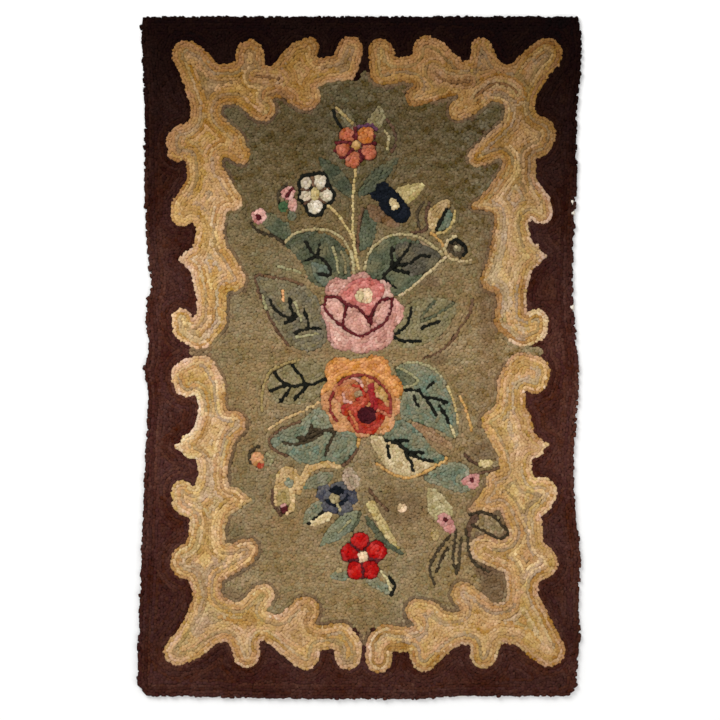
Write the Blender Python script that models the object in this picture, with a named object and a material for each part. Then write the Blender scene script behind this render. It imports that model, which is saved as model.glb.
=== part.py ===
"""A hooked rug, lying flat with its face up.

Strips of wool are pulled up as loops through a woven foundation cloth, whose edge is turned
under as a hem. Loops, cloth and hem are one piece, so the rug is one solid: its underside is
flat, its top is the height of the loops, and its rim is rounded where the outermost loops fan
out. Its sides wander, as a hand-hooked edge does, and its lower corners are worn round.

Units are metres, +Z is up, +Y is the end with the top of the design, and the origin is at the
middle of the underside.
"""

import math

import bmesh
import bpy
import numpy as np

# Driving dimensions
RUG_LENGTH = 0.958
FOUNDATION_THICKNESS = 0.002
LOOP_HEIGHT = 0.006
RUG_THICKNESS = FOUNDATION_THICKNESS + LOOP_HEIGHT
RIM_ROUNDING = 0.0045
LOWER_LEFT_RADIUS = 0.018
LOWER_RIGHT_RADIUS = 0.015

# How the tread-worn top rises and falls: height, and wavelengths across and along the rug
SWELL_HEIGHT = 0.0005
SWELL_ACROSS = 0.23
SWELL_ALONG = 0.31

# Each side edge: (distance down from the top end, distance out from the centre line)
LEFT_EDGE = (
    (0.000, 0.3070),
    (0.060, 0.3042),
    (0.111, 0.3017),
    (0.257, 0.3007),
    (0.341, 0.2965),
    (0.381, 0.2925),
    (0.400, 0.2979),
    (0.482, 0.2975),
    (0.499, 0.3021),
    (0.520, 0.2979),
    (0.601, 0.2998),
    (0.679, 0.3028),
    (0.784, 0.3063),
    (0.858, 0.3097),
    (0.917, 0.3112),
    (0.958, 0.3112),
)
RIGHT_EDGE = (
    (0.000, 0.3052),
    (0.018, 0.3084),
    (0.046, 0.3098),
    (0.117, 0.3044),
    (0.173, 0.3021),
    (0.215, 0.3035),
    (0.299, 0.2993),
    (0.406, 0.2981),
    (0.482, 0.3049),
    (0.517, 0.3063),
    (0.589, 0.3007),
    (0.715, 0.3029),
    (0.749, 0.3077),
    (0.833, 0.3063),
    (0.880, 0.3077),
    (0.922, 0.3032),
    (0.958, 0.3022),
)
# The lower end: (distance right of the centre line, how far the end stops short of RUG_LENGTH)
LOWER_END = (
    (-0.310, 0.0048),
    (-0.246, 0.0042),
    (-0.160, 0.0020),
    (0.028, 0.0000),
    (0.084, 0.0002),
    (0.126, 0.0034),
    (0.260, 0.0048),
    (0.310, 0.0050),
)

# The mesh has narrow cells beside its edges, which draw the round corners, and even ones between
EDGE_BANDS = (0.0, 0.0065, 0.0130, 0.0200)
CELLS_ACROSS = 28
CELLS_ALONG = 64
RIM_SEGMENTS = 3

WOOL_COLOUR = (0.24, 0.19, 0.11, 1.0)
WOOL_ROUGHNESS = 0.95


def smooth_through(table, at):
    """Reads at a smooth curve through a table's rows, whose slopes come from their neighbours."""
    places = [row[0] for row in table]
    values = [row[1] for row in table]
    slopes = np.gradient(values, places)
    i = int(np.clip(np.searchsorted(places, at) - 1, 0, len(table) - 2))
    span = places[i + 1] - places[i]
    t = min(max((at - places[i]) / span, 0.0), 1.0)
    rise = t * t * (3.0 - 2.0 * t)
    return (
        values[i] * (1.0 - rise)
        + values[i + 1] * rise
        + span * slopes[i] * t * (1.0 - t) ** 2
        - span * slopes[i + 1] * t * t * (1.0 - t)
    )


def shares(length, even_cells):
    """Shares of a length at which the mesh has its lines: bands at both ends, even cells between."""
    bands = [band / length for band in EDGE_BANDS]
    inner = np.linspace(bands[-1], 1.0 - bands[-1], even_cells + 1)
    return [*bands[:-1], *inner, *(1.0 - band for band in reversed(bands[:-1]))]


def rounded(inset_side, inset_end, radius):
    """Moves a point of a square corner into a round one, given how far it is from both edges."""
    p = 1.0 - inset_side / radius
    q = 1.0 - inset_end / radius
    if p <= 0.0 or q <= 0.0:
        return inset_side, inset_end
    disc_p = p * math.sqrt(1.0 - q * q / 2.0)
    disc_q = q * math.sqrt(1.0 - p * p / 2.0)
    return radius * (1.0 - disc_p), radius * (1.0 - disc_q)


def plan_point(across, along):
    """Where a share of the width and of the length lies on the rug, with its centre line at x = 0."""
    down = along * RUG_LENGTH
    left = smooth_through(LEFT_EDGE, down)
    right = smooth_through(RIGHT_EDGE, down)
    width = left + right
    x = across * width - left
    length = RUG_LENGTH - smooth_through(LOWER_END, x)
    from_end = (1.0 - along) * length
    if across < 0.5:
        from_side, from_end = rounded(across * width, from_end, LOWER_LEFT_RADIUS)
        x = from_side - left
    else:
        from_side, from_end = rounded((1.0 - across) * width, from_end, LOWER_RIGHT_RADIUS)
        x = right - from_side
    return x, RUG_LENGTH / 2.0 - length + from_end


def swell(x, y):
    """The height of the loops' tops over the underside."""
    wave = math.sin(2.0 * math.pi * x / SWELL_ACROSS) * math.cos(2.0 * math.pi * y / SWELL_ALONG)
    return RUG_THICKNESS + SWELL_HEIGHT * (wave - 1.0)


def loop_faced_sheet():
    """The top of the rug as a mesh of quads, to the outline and centred on the origin."""
    columns = shares(LEFT_EDGE[0][1] + RIGHT_EDGE[0][1], CELLS_ACROSS)
    rows = shares(RUG_LENGTH, CELLS_ALONG)
    plan = np.array([[plan_point(across, along) for across in columns] for along in rows])
    plan -= (plan.min(axis=(0, 1)) + plan.max(axis=(0, 1))) / 2.0
    mesh = bmesh.new()
    grid = [[mesh.verts.new((x, y, swell(x, y))) for x, y in row] for row in plan]
    for upper, lower in zip(grid, grid[1:]):
        for i in range(len(columns) - 1):
            mesh.faces.new((upper[i], lower[i], lower[i + 1], upper[i + 1]))
    return mesh


def close_underside(mesh):
    """Drops a wall from the sheet's edge to the floor and closes it with one flat face."""
    edge = [e for e in mesh.edges if e.is_boundary]
    wall = bmesh.ops.extrude_edge_only(mesh, edges=edge)["geom"]
    for piece in wall:
        if isinstance(piece, bmesh.types.BMVert):
            piece.co.z = 0.0
    foot = [e for e in wall if isinstance(e, bmesh.types.BMEdge) and e.is_boundary]
    bmesh.ops.edgeloop_fill(mesh, edges=foot)
    return edge


def wool_material():
    """Dyed wool, in the rug's average colour."""
    material = bpy.data.materials.new("hooked_wool")
    material.use_nodes = True
    shader = material.node_tree.nodes["Principled BSDF"]
    shader.inputs["Base Color"].default_value = WOOL_COLOUR
    shader.inputs["Roughness"].default_value = WOOL_ROUGHNESS
    shader.inputs["Metallic"].default_value = 0.0
    return material


def make_hooked_rug():
    mesh = loop_faced_sheet()
    rim = close_underside(mesh)
    bmesh.ops.bevel(
        mesh,
        geom=rim,
        offset=RIM_ROUNDING,
        offset_type="OFFSET",
        segments=RIM_SEGMENTS,
        profile=0.5,
        affect="EDGES",
    )
    bmesh.ops.recalc_face_normals(mesh, faces=mesh.faces)
    data = bpy.data.meshes.new("hooked_rug")
    mesh.to_mesh(data)
    mesh.free()
    data.shade_smooth()
    data.set_sharp_from_angle(angle=math.radians(50.0))
    data.materials.append(wool_material())
    rug = bpy.data.objects.new("hooked_rug", data)
    bpy.context.scene.collection.objects.link(rug)
    return rug


for leftover in list(bpy.data.objects):
    bpy.data.objects.remove(leftover, do_unlink=True)

hooked_rug = make_hooked_rug()
print("hooked_rug", [round(side, 4) for side in hooked_rug.dimensions])
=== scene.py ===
# %% [markdown]
# # A hooked rug
#
# A hooked rug is made of a woven cloth and strips of old wool clothing. The maker draws a design
# on burlap, holds a strip under it, and pulls loop after loop up through the weave with a small
# hook. The loops stand close enough to hide the cloth, so the design is nothing but the colours
# of loops. This lesson builds the rug in the same order: the drawing, the rows, the loops.

# %% Load the frame
import math

import bpy
import numpy as np
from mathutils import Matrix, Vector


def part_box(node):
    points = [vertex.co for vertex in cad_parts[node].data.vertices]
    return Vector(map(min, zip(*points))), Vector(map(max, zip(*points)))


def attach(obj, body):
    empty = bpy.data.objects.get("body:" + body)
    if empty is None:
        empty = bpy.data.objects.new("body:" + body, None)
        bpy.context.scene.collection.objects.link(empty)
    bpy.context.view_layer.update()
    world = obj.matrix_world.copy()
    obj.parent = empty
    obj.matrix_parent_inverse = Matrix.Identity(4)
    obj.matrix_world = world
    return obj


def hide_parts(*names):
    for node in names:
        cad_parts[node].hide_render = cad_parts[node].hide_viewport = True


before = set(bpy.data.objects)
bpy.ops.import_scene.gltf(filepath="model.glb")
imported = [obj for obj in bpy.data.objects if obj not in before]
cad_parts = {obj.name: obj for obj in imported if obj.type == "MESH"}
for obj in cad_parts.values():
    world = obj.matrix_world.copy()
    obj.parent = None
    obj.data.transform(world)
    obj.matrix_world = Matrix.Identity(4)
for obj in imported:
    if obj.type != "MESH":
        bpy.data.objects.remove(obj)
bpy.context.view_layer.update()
RUG_LOW, RUG_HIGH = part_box("hooked_rug")
print("rug", [round(side, 4) for side in RUG_HIGH - RUG_LOW], "m")

# %% [markdown]
# The photograph looks straight down at the rug. A long lens from far above gives the same view
# with hardly any perspective. The camera comes first.

# %% Camera
VIEW_WIDTH = 1.0116
CAMERA_HEIGHT = 3.0
SENSOR_WIDTH = 36.0
CAMERA_OFFSET = (0.0007, -0.0028)

camera_data = bpy.data.cameras.new("overhead")
camera_data.sensor_width = SENSOR_WIDTH
camera_data.lens = SENSOR_WIDTH * CAMERA_HEIGHT / VIEW_WIDTH
camera = bpy.data.objects.new("overhead", camera_data)
camera.location = (*CAMERA_OFFSET, CAMERA_HEIGHT + RUG_HIGH.z)
bpy.context.scene.collection.objects.link(camera)
bpy.context.scene.camera = camera
print("lens", round(camera_data.lens, 1), "mm")

# %% [markdown]
# ## The squared pattern
#
# Rug makers draw on squared paper, one square to a thread, and copy it to the burlap. Here the
# paper is a grid of numbers. Places on it are counted in threads from its upper left corner,
# across and down, and one thread is as wide as one pixel of the photograph. Each cell holds the
# number of the patch that owns it. A patch is an area that is filled with one wool.

# %% The squared paper
THREAD = 0.001405
SHEET_MIDDLE = (359.5, 358.0)
SHEET_LEFT, SHEET_TOP = 134.0, 12.0
SHEET_RIGHT, SHEET_BOTTOM = 586.0, 704.0
CELL = 0.75
FAR = 1000.0
MARGIN = 2.0
NOBODY = -1

across = np.arange(SHEET_LEFT, SHEET_RIGHT, CELL)
down = np.arange(SHEET_TOP, SHEET_BOTTOM, CELL)
SHEET = (len(down), len(across))
owner = np.full(SHEET, NOBODY, np.int16)
patches = []
print("paper", SHEET, "cells of", round(CELL * THREAD * 1000, 2), "mm")


# %% Windows and patches
def window(x, y, margin):
    """The part of the paper round some places, as slices, with the places of its cells."""
    first = np.array([min(x) - margin - SHEET_LEFT, min(y) - margin - SHEET_TOP]) / CELL
    last = np.array([max(x) + margin - SHEET_LEFT, max(y) + margin - SHEET_TOP]) / CELL + 2
    i0, j0 = (max(int(v), 0) for v in first)
    i1, j1 = (int(v) for v in last)
    part = (slice(j0, j1), slice(i0, i1))
    return part, across[None, part[1]], down[part[0], None]


def cells_at(x, y, rounding=0.5):
    """The rows and columns of the cells nearest to some places, or just before them if it is 0."""
    rows = ((y - SHEET_TOP) / CELL + rounding).astype(int)
    return rows, ((x - SHEET_LEFT) / CELL + rounding).astype(int)


def paint(part, mask, wool, family, single_row=False, onto=None):
    """Gives the cells of a mask, where they are on the rug, to a new patch or onto a given one."""
    if onto is None:
        patches.append({"wool": wool, "family": family, "single_row": single_row})
        onto = len(patches) - 1
    cells = owner[part]
    cells[mask & (cells != NOBODY)] = onto
    return onto


# %% [markdown]
# Three kinds of shape draw the whole design. A limb is a chain of round brush strokes, for the
# scroll. A leaf bulges by its own amount on each side of a line from base to tip. A blob is a
# smooth closed curve through a few points, for anything else.

# %% Shapes
BRUSH_REACH = 8.0
NO_LENGTH = 1e-9


def smooth_path(points, closed=False, steps=6):
    """A curve through points, with slopes taken from their neighbours."""
    p = np.array(points, float)
    before, after = (p[-1:], p[:2]) if closed else (2 * p[:1] - p[1:2], 2 * p[-1:] - p[-2:-1])
    p = np.vstack([before, p, after])
    t = np.linspace(0, 1, steps, endpoint=False)[:, None]
    spans = [
        a * (-t + 2 * t**2 - t**3) / 2
        + b * (2 - 5 * t**2 + 3 * t**3) / 2
        + c * (t + 4 * t**2 - 3 * t**3) / 2
        + d * (t**3 - t**2) / 2
        for a, b, c, d in zip(p, p[1:], p[2:], p[3:])
    ]
    ends = [] if closed else [p[-2:-1]]
    return np.vstack(spans + ends)


def inside(corners, x, y):
    """Which places lie within a closed outline, counting the sides to the right of each."""
    hit = np.zeros((y.shape[0], x.shape[1]), bool)
    for (ax, ay), (bx, by) in zip(corners, np.roll(corners, -1, axis=0)):
        if ay != by:
            hit ^= ((y < ay) != (y < by)) & (x < (bx - ax) * (y - ay) / (by - ay) + ax)
    return hit


def from_side(x, y, ax, ay, bx, by):
    """How far along a side the nearest point to each place is, from 0 to 1, and how far off."""
    ux, uy = bx - ax, by - ay
    t = np.clip(((x - ax) * ux + (y - ay) * uy) / (ux * ux + uy * uy + NO_LENGTH), 0, 1)
    return t, np.hypot(x - ax - t * ux, y - ay - t * uy)


def brushed(knots):
    """A field of distances from the edge of a chain of round brush strokes."""
    field = np.full(SHEET, FAR)
    for (ax, ay, ar), (bx, by, br) in zip(knots, knots[1:]):
        part, x, y = window((ax, bx), (ay, by), max(ar, br) + BRUSH_REACH)
        t, distance = from_side(x, y, ax, ay, bx, by)
        field[part] = np.minimum(field[part], distance - (ar + t * (br - ar)))
    return field


# %% Shapes that paint themselves
EVERYWHERE = (slice(None), slice(None))
LEAF_POINT = 0.8


def blob(wool, family, *points):
    outline = smooth_path(points, closed=True)
    part, x, y = window(outline[:, 0], outline[:, 1], MARGIN)
    return paint(part, inside(outline, x, y), wool, family)


def oval(wool, family, cx, cy, rx, ry=None, turn=0.0, onto=None):
    ry = ry or rx
    part, x, y = window((cx,), (cy,), max(rx, ry) + MARGIN)
    c, s = math.cos(math.radians(turn)), math.sin(math.radians(turn))
    u = ((x - cx) * c + (y - cy) * s) / rx
    v = ((y - cy) * c - (x - cx) * s) / ry
    return paint(part, u * u + v * v < 1, wool, family, onto=onto)


def limb(wool, family, *knots, onto=None):
    return paint(EVERYWHERE, brushed(knots) < 0, wool, family, onto=onto)


def leaf(wool, base, tip, left, right, fat=0.45):
    """A leaf that bulges left and right of its midrib. fat is where it is widest, from 0 to 1."""
    (ax, ay), (bx, by) = base, tip
    length = math.hypot(bx - ax, by - ay)
    ux, uy = (bx - ax) / length, (by - ay) / length
    part, x, y = window((ax, bx), (ay, by), max(left, right) + MARGIN)
    t = ((x - ax) * ux + (y - ay) * uy) / length
    power = math.log(0.5) / math.log(fat)
    bulge = np.sin(np.pi * np.clip(t, 0, 1) ** power) ** LEAF_POINT
    off = (x - ax) * uy - (y - ay) * ux
    mask = (t > 0) & (t < 1) & (off < left * bulge) & (-off < right * bulge)
    return paint(part, mask, wool, "leaf")


# %% [markdown]
# Veins, stems and outlines are one row of loops wide. They are hooked before the areas beside
# them, so each keeps its path for later and owns a strip of the paper as wide as a row.

# %% Single rows
ROW = 2.85
lines = []


def line(wool, *points, family="blossom"):
    path = smooth_path(points)
    part, x, y = window(path[:, 0], path[:, 1], ROW)
    near = np.full((y.shape[0], x.shape[1]), FAR)
    for a, b in zip(path, path[1:]):
        near = np.minimum(near, from_side(x, y, *a, *b)[1])
    patch = paint(part, near < ROW / 2, wool, family, single_row=True)
    lines.append((patch, path))


def lines_of(wool, *paths, family="blossom"):
    for path in paths:
        line(wool, *path, family=family)


# %% [markdown]
# The rug's own outline comes from the CAD model, so that the loops end where its solid does.
# The foot of the solid's wall is a ring of points, which are put in order round the middle.

# %% The rug's outline
FOOT_LEVEL = 0.0002

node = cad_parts["hooked_rug"]
corners = np.array([v.co for v in node.data.vertices])
foot = np.unique(corners[corners[:, 2] < FOOT_LEVEL][:, :2].round(5), axis=0)
foot = foot[np.argsort(np.arctan2(foot[:, 1], foot[:, 0]))]
outline = np.column_stack(
    [SHEET_MIDDLE[0] + foot[:, 0] / THREAD, SHEET_MIDDLE[1] - foot[:, 1] / THREAD]
)
on_rug = inside(outline, across[None, :], down[:, None])
print("outline of", len(outline), "points,", round(on_rug.mean() * 100), "% of the paper is rug")

# %% Surround and ground
GROUND_MIDDLE = (360.0, 354.5)
GROUND_HALF = (150.0, 274.0)
GROUND_CORNER = 22.0

patches.append({"wool": "surround", "family": "surround", "single_row": False})
patches.append({"wool": "ground", "family": "ground", "single_row": False})
SURROUND, GROUND = 0, 1
owner[on_rug] = SURROUND
out_x = np.maximum(np.abs(across - GROUND_MIDDLE[0]) - GROUND_HALF[0] + GROUND_CORNER, 0)
out_y = np.maximum(np.abs(down - GROUND_MIDDLE[1]) - GROUND_HALF[1] + GROUND_CORNER, 0)
owner[np.hypot(out_x[None, :], out_y[:, None]) < GROUND_CORNER] = GROUND
for gap in (
    ((365, 90, 10), (365, 76, 5)),
    ((364, 618, 12), (364, 634, 5), (364, 644, 2)),
    ((222, 352, 14), (206, 351, 6), (191, 351, 3)),
    ((500, 352, 14), (515, 352, 7), (540, 352, 4)),
):
    limb("ground", "ground", *gap, onto=GROUND)
print("ground covers", round((owner == GROUND).sum() / on_rug.sum() * 100), "% before the scroll")

# %% [markdown]
# ## The scroll
#
# Four arms of leafy scroll meet at the corners and curl back where two ends face each other.
# Each limb below is a chain of (across, down, radius).

# %% Scroll limbs
SCROLL_LIMBS = (
    # left side, from its upper curl to the corner
    ((212, 300, 15), (211, 320, 15.5), (199, 335, 14.5), (185, 329, 12.5), (182, 319, 10.5)),
    ((211, 298, 15), (209, 262, 20), (210, 232, 13.5), (207, 200, 22), (204, 168, 17)),
    ((207, 258, 17), (192, 259, 10.5), (178, 259.5, 1.5)),
    ((218, 262, 17), (233, 279, 12.5)),
    ((198, 194, 18), (184, 206, 13), (182, 215, 11.5)),
    ((214, 186, 19), (232, 201, 10.5), (241.5, 204.5, 1.5)),
    ((204, 168, 17), (205, 140, 21), (206, 112, 15), (207, 92, 19)),
    ((203, 134, 17), (184, 142, 18), (178, 150.5, 11)),
    ((212, 126, 14), (230, 143, 15), (241, 155, 9.5)),
    ((208, 87, 22), (194, 63, 18), (187, 55.5, 15.5)),
    # top, left half
    ((208, 86, 22), (240, 82, 19.5), (270, 82, 16), (295, 77, 18), (325, 70, 13)),
    ((250, 76, 15), (250, 54, 14.3)),
    ((240, 88, 15), (262, 108, 13.5)),
    ((287, 84, 15), (306, 96, 15)),
    ((288, 76, 20), (301, 56, 16), (309, 47.5, 10.5), (313.5, 39, 2)),
    ((325, 70, 12.5), (344, 67, 14), (350.5, 49, 13)),
    # top, right half
    ((380.5, 50.5, 12.5), (384, 71, 14.3), (402, 69, 12.5), (430, 70, 17)),
    ((448, 75, 17), (430, 57, 18), (427, 50, 14.3)),
    ((434, 54, 15), (450, 65, 12)),
    ((448, 84, 12), (426, 91.5, 12), (415, 97, 9.8)),
    ((430, 70, 16), (455, 78, 17), (485, 80, 18), (517, 86, 21)),
    ((485, 68, 17), (481.5, 47.5, 10.5)),
    ((488, 90, 11), (468, 104, 12), (458.5, 110, 10.2)),
    ((518, 88, 20), (534, 66, 18), (546.5, 54, 16.5)),
    # right side, from the corner to its upper curl
    ((518, 88, 20), (519.5, 108, 15), (522, 132, 20), (519, 150, 18), (519.5, 166, 16)),
    ((528, 133, 21), (537.5, 134, 18.5), (536, 140, 18)),
    ((514, 136, 20), (493, 147, 13.5), (478, 157, 10)),
    ((519.5, 165, 16), (516, 190, 23), (511, 224, 17), (512, 258, 23), (511, 296, 14.8)),
    ((523, 190, 18), (538, 202, 13), (541, 212, 12)),
    ((510, 188, 19), (492, 201, 12), (474, 206.5, 3)),
    ((516, 256, 19), (528, 256, 14.5), (545.5, 256, 2)),
    ((507, 264, 20), (494, 279, 13.3)),
    ((511, 296, 14.6), (511, 320, 16.5), (523, 331, 16), (533.5, 328, 15), (536.5, 321, 12.3)),
    # right side, lower half
    ((511, 402, 13.8), (512, 384, 15), (522, 369, 16.5), (534, 372, 16), (535, 381, 13)),
    ((511, 402, 13.8), (509, 426, 24), (515, 452, 18), (516, 474, 15)),
    ((500, 426, 16), (492, 422, 11.5)),
    ((521, 442, 19), (533, 447, 12), (546.5, 445, 2.5)),
    ((516, 470, 15.5), (518, 497, 22), (525.5, 526, 17), (524, 556, 22), (522, 592, 14.5)),
    ((523, 506, 18), (537, 498, 17.5), (541.5, 493, 16)),
    ((506, 488, 19), (490, 500, 12), (472, 508.5, 3.5)),
    ((502, 484, 12), (493, 480, 7)),
    ((532, 564, 21), (540, 562, 18)),
    ((514, 556, 19), (494, 552, 15.5), (483, 549, 13.5)),
    ((522, 590, 14.5), (525, 620, 24), (541, 642, 19.5), (549, 651, 16.5)),
    # bottom, right half
    ((486, 638, 16.5), (483.5, 655.5, 13.3)),
    ((485, 613, 13), (471, 601, 13), (463.5, 594, 12.5)),
    ((525, 622, 24), (490, 624, 19), (456, 629, 17), (434, 638, 19)),
    ((440, 630, 19), (428, 616, 15), (417.5, 611.5, 12.5)),
    ((436, 640, 19), (424, 657.5, 14.3)),
    ((378.8, 660, 13.3), (379, 645, 13), (386, 638, 13.5), (405, 640, 12.5), (430, 640, 16)),
    # bottom, left half
    ((348, 657, 13.3), (348, 646, 13.3), (340, 636, 13.5), (322, 638.5, 12.3), (300, 638, 17)),
    ((289, 632, 19), (301, 616, 15.5), (305.5, 610.5, 14.3)),
    ((292, 641, 18), (305, 655.5, 14.5)),
    ((290, 636, 19), (268, 627, 14.5), (245, 623, 17.5), (212, 619, 24)),
    ((243, 636, 17), (246.5, 655, 13)),
    ((243, 620, 15), (256, 603, 12.5), (263, 595.5, 11.7)),
    ((212, 618, 24), (191, 642, 18), (178.5, 651, 14.7)),
    # left side, lower half
    ((210, 618, 22), (207, 594, 14), (204, 560, 21), (207, 530, 18), (211, 500, 20), (213, 474, 14)),
    ((204, 562, 21), (188, 562, 18)),
    ((220, 563, 17), (242, 554, 13.5), (247, 550, 11.5)),
    ((214, 500, 20), (232, 499.5, 13), (249.5, 499.5, 2.5)),
    ((205, 507, 18), (187, 501, 15), (182.5, 492, 11.7)),
    ((213, 474, 14), (212, 440, 22), (212.5, 408, 13)),
    ((208, 442, 20), (192, 446, 12.5), (176.5, 447, 2.5)),
    ((217, 431, 17), (233, 424, 13.5)),
    ((212.5, 410, 13), (209, 386, 15.5), (200, 371.5, 16.5), (187.5, 376, 16.5), (187, 384, 13.3)),
)

# %% [markdown]
# Where limbs join, a small fillet softens the corner, as a row of loops can't turn sharply. The
# whole scroll becomes one patch.

# %% The scroll on the paper
FILLET = 3.0
LIMB_REACH = 40.0


def fillet(a, b, size):
    """Joins two fields of distance, with a round fillet where they meet."""
    overlap = np.maximum(size - np.abs(a - b), 0) / size
    near = np.minimum(a, b) < size
    return np.minimum(a, b) - np.where(near, overlap * overlap * size / 4, 0)


scroll = np.full(SHEET, FAR)
for knots in SCROLL_LIMBS:
    one_limb = brushed(knots)
    x, y, _ = zip(*knots)
    part = window(x, y, LIMB_REACH)[0]
    scroll[part] = fillet(scroll[part], one_limb[part], FILLET)

patches.append({"wool": "scroll", "family": "scroll", "single_row": False})
SCROLL = len(patches) - 1
owner[(scroll < 0) & on_rug] = SCROLL
print("scroll covers", round((owner == SCROLL).sum() / on_rug.sum() * 100), "% of the rug")

# %% [markdown]
# Thin rows of dark wool lie along the folds of the upper scroll, where leaf parts from leaf.

# %% Folds of the scroll
lines_of(
    "fold",
    ((434, 72), (443, 80), (456, 82), (469, 81)),
    ((475, 97), (484, 89), (497, 83), (511, 87), (517, 93)),
    ((256, 76), (267, 77), (279, 79)),
    ((268, 96), (278, 93), (289, 99)),
    family="scroll",
)

# %% [markdown]
# ## The bouquet
#
# Flowers and leaves are painted from the back of the bunch to its front, so that a later one
# covers part of an earlier one. The order follows how such a bunch is drawn: leaves, their
# veins, the stems, the small flowers, then the two roses in the middle.

# %% Leaves above the roses
leaf("grey teal", (353, 198), (318, 156), 7, 9)
leaf("grey teal", (358, 197), (399, 157), 8, 7)
line("dark teal", (359, 191), (370, 182), (381, 174), (391, 167))
leaf("light olive", (357, 130), (334, 105), 4, 6)
blob("pale khaki", "leaf", (363, 128), (370, 116), (380, 106), (385, 117), (378, 130))
line("dull gold", (336, 107), (344, 115), (353, 124))
line("black", (333, 110), (336, 119), (341, 127))
line("brown", (386, 118), (393, 128), (396, 140), (392, 152))
line("pale khaki", (384, 130), (389, 138), (388, 150))
leaf("grey teal", (359, 252), (368, 205), 3, 13)
line("brown", (363, 208), (359, 222), (358, 238), (359, 252))

# %% The upper left leaf
blob("dark teal", "leaf", (284, 244), (296, 235), (314, 232), (332, 237), (344, 248), (350, 265),
     (347, 283), (326, 288), (310, 281), (304, 268), (294, 253))
leaf("blue teal", (331, 286), (312, 262), 8, 9)
line("pale khaki", (283, 245), (294, 234), (312, 229), (330, 231), (344, 241), (352, 256), (354, 274))
lines_of(
    "black",
    ((306, 241), (313, 254), (325, 261), (331, 274), (318, 274)), ((320, 244), (318, 253)),
    ((306, 260), (314, 258)),
)
line("pale sage", (333, 247), (336, 258), (339, 274))
line("sage", (341, 251), (345, 262), (345, 274))
line("pale sage", (277, 266), (288, 269), (301, 272))

# %% The upper right leaf
blob("grey teal", "leaf", (366, 270), (373, 251), (389, 238), (409, 239), (430, 246), (442, 256),
     (430, 270), (418, 284), (402, 295), (385, 292))
blob("plum grey", "leaf", (396, 245), (412, 243), (430, 248), (440, 256), (428, 270), (410, 276),
     (398, 262))
line("pale khaki", (364, 270), (371, 250), (386, 237), (402, 234), (420, 238), (436, 248), (445, 257))
line("oat", (446, 257), (436, 266), (425, 276), (411, 288), (399, 296))
lines_of(
    "black",
    ((392, 247), (392, 258), (391, 268), (384, 277), (396, 288)), ((411, 244), (402, 257), (392, 268)),
    ((430, 256), (420, 256), (410, 263), (397, 266)), ((410, 273), (394, 270)),
)

# %% The leaf at the left of the pink rose
blob("grey olive", "leaf", (255, 276), (272, 278), (290, 281), (306, 286), (318, 300), (324, 318),
     (326, 340), (312, 351), (291, 346), (278, 331), (268, 314), (259, 295))
line("brown", (303, 285), (290, 280), (272, 277), (256, 276), (259, 292), (267, 312), (278, 332),
     (289, 346))
lines_of(
    "black",
    ((269, 299), (275, 309), (284, 316), (295, 318)), ((289, 298), (291, 309), (295, 318), (285, 323)),
    ((304, 309), (308, 322), (310, 328), (321, 329)), ((293, 333), (310, 328)),
)
line("pale sage", (262, 294), (267, 309))
line("peach", (282, 290), (284, 301))
lines_of("pale sage", ((294, 301), (298, 311), (301, 322)), ((296, 337), (308, 335), (320, 334)))

# %% The leaf at the right of the pink rose
blob("light olive", "leaf", (393, 336), (401, 313), (413, 301), (434, 297), (456, 303), (452, 321),
     (440, 336), (420, 346), (401, 347))
line("black", (396, 334), (407, 324), (412, 308))
lines_of("dark teal", ((421, 319), (428, 309), (435, 301)), ((421, 322), (437, 314), (453, 304)))
lines_of("black", ((421, 329), (431, 324), (441, 321)), ((396, 338), (403, 341), (421, 341)))
line("brown", (473, 299), (470, 313), (458, 332), (446, 347), (433, 355), (423, 359))

# %% The leaves beside the orange rose
blob("sage", "leaf", (330, 372), (307, 361), (286, 367), (272, 375), (268, 389), (275, 401),
     (291, 405), (309, 402), (324, 392))
lines_of(
    "black",
    ((292, 365), (301, 376), (308, 385), (326, 379)), ((308, 385), (291, 386), (280, 387), (270, 391)),
    ((275, 373), (281, 381), (289, 385)), ((290, 389), (280, 402)), ((306, 388), (294, 400)),
)
line("tan", (320, 402), (303, 411), (287, 418), (268, 429))
line("dull gold", (300, 360), (284, 364), (270, 372), (264, 384), (262, 398), (262, 412))
blob("teal", "leaf", (394, 367), (411, 363), (428, 367), (446, 381), (455, 402), (459, 424),
     (456, 440), (440, 431), (418, 422), (402, 418), (401, 402), (403, 388), (398, 377))
blob("grey teal", "leaf", (394, 368), (407, 372), (419, 381), (404, 386), (399, 379))
lines_of(
    "pale sage",
    ((403, 363), (418, 363), (432, 368), (442, 377)),
    ((397, 367), (409, 373), (418, 380), (413, 385), (404, 387)),
)
line("straw", (447, 385), (452, 396), (456, 410), (458, 424))
lines_of(
    "black",
    ((405, 390), (419, 391), (424, 397), (437, 399), (447, 403)), ((427, 388), (434, 382)),
    ((414, 396), (418, 407)), ((427, 400), (437, 416)), ((439, 405), (445, 414), (449, 423)),
)
line("cream", (451, 426), (455, 438))
line("old gold", (460, 396), (467, 412), (472, 431))
limb("rust", "leaf", (413, 424, 3), (429, 433, 5), (449, 446, 3.5))

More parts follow.
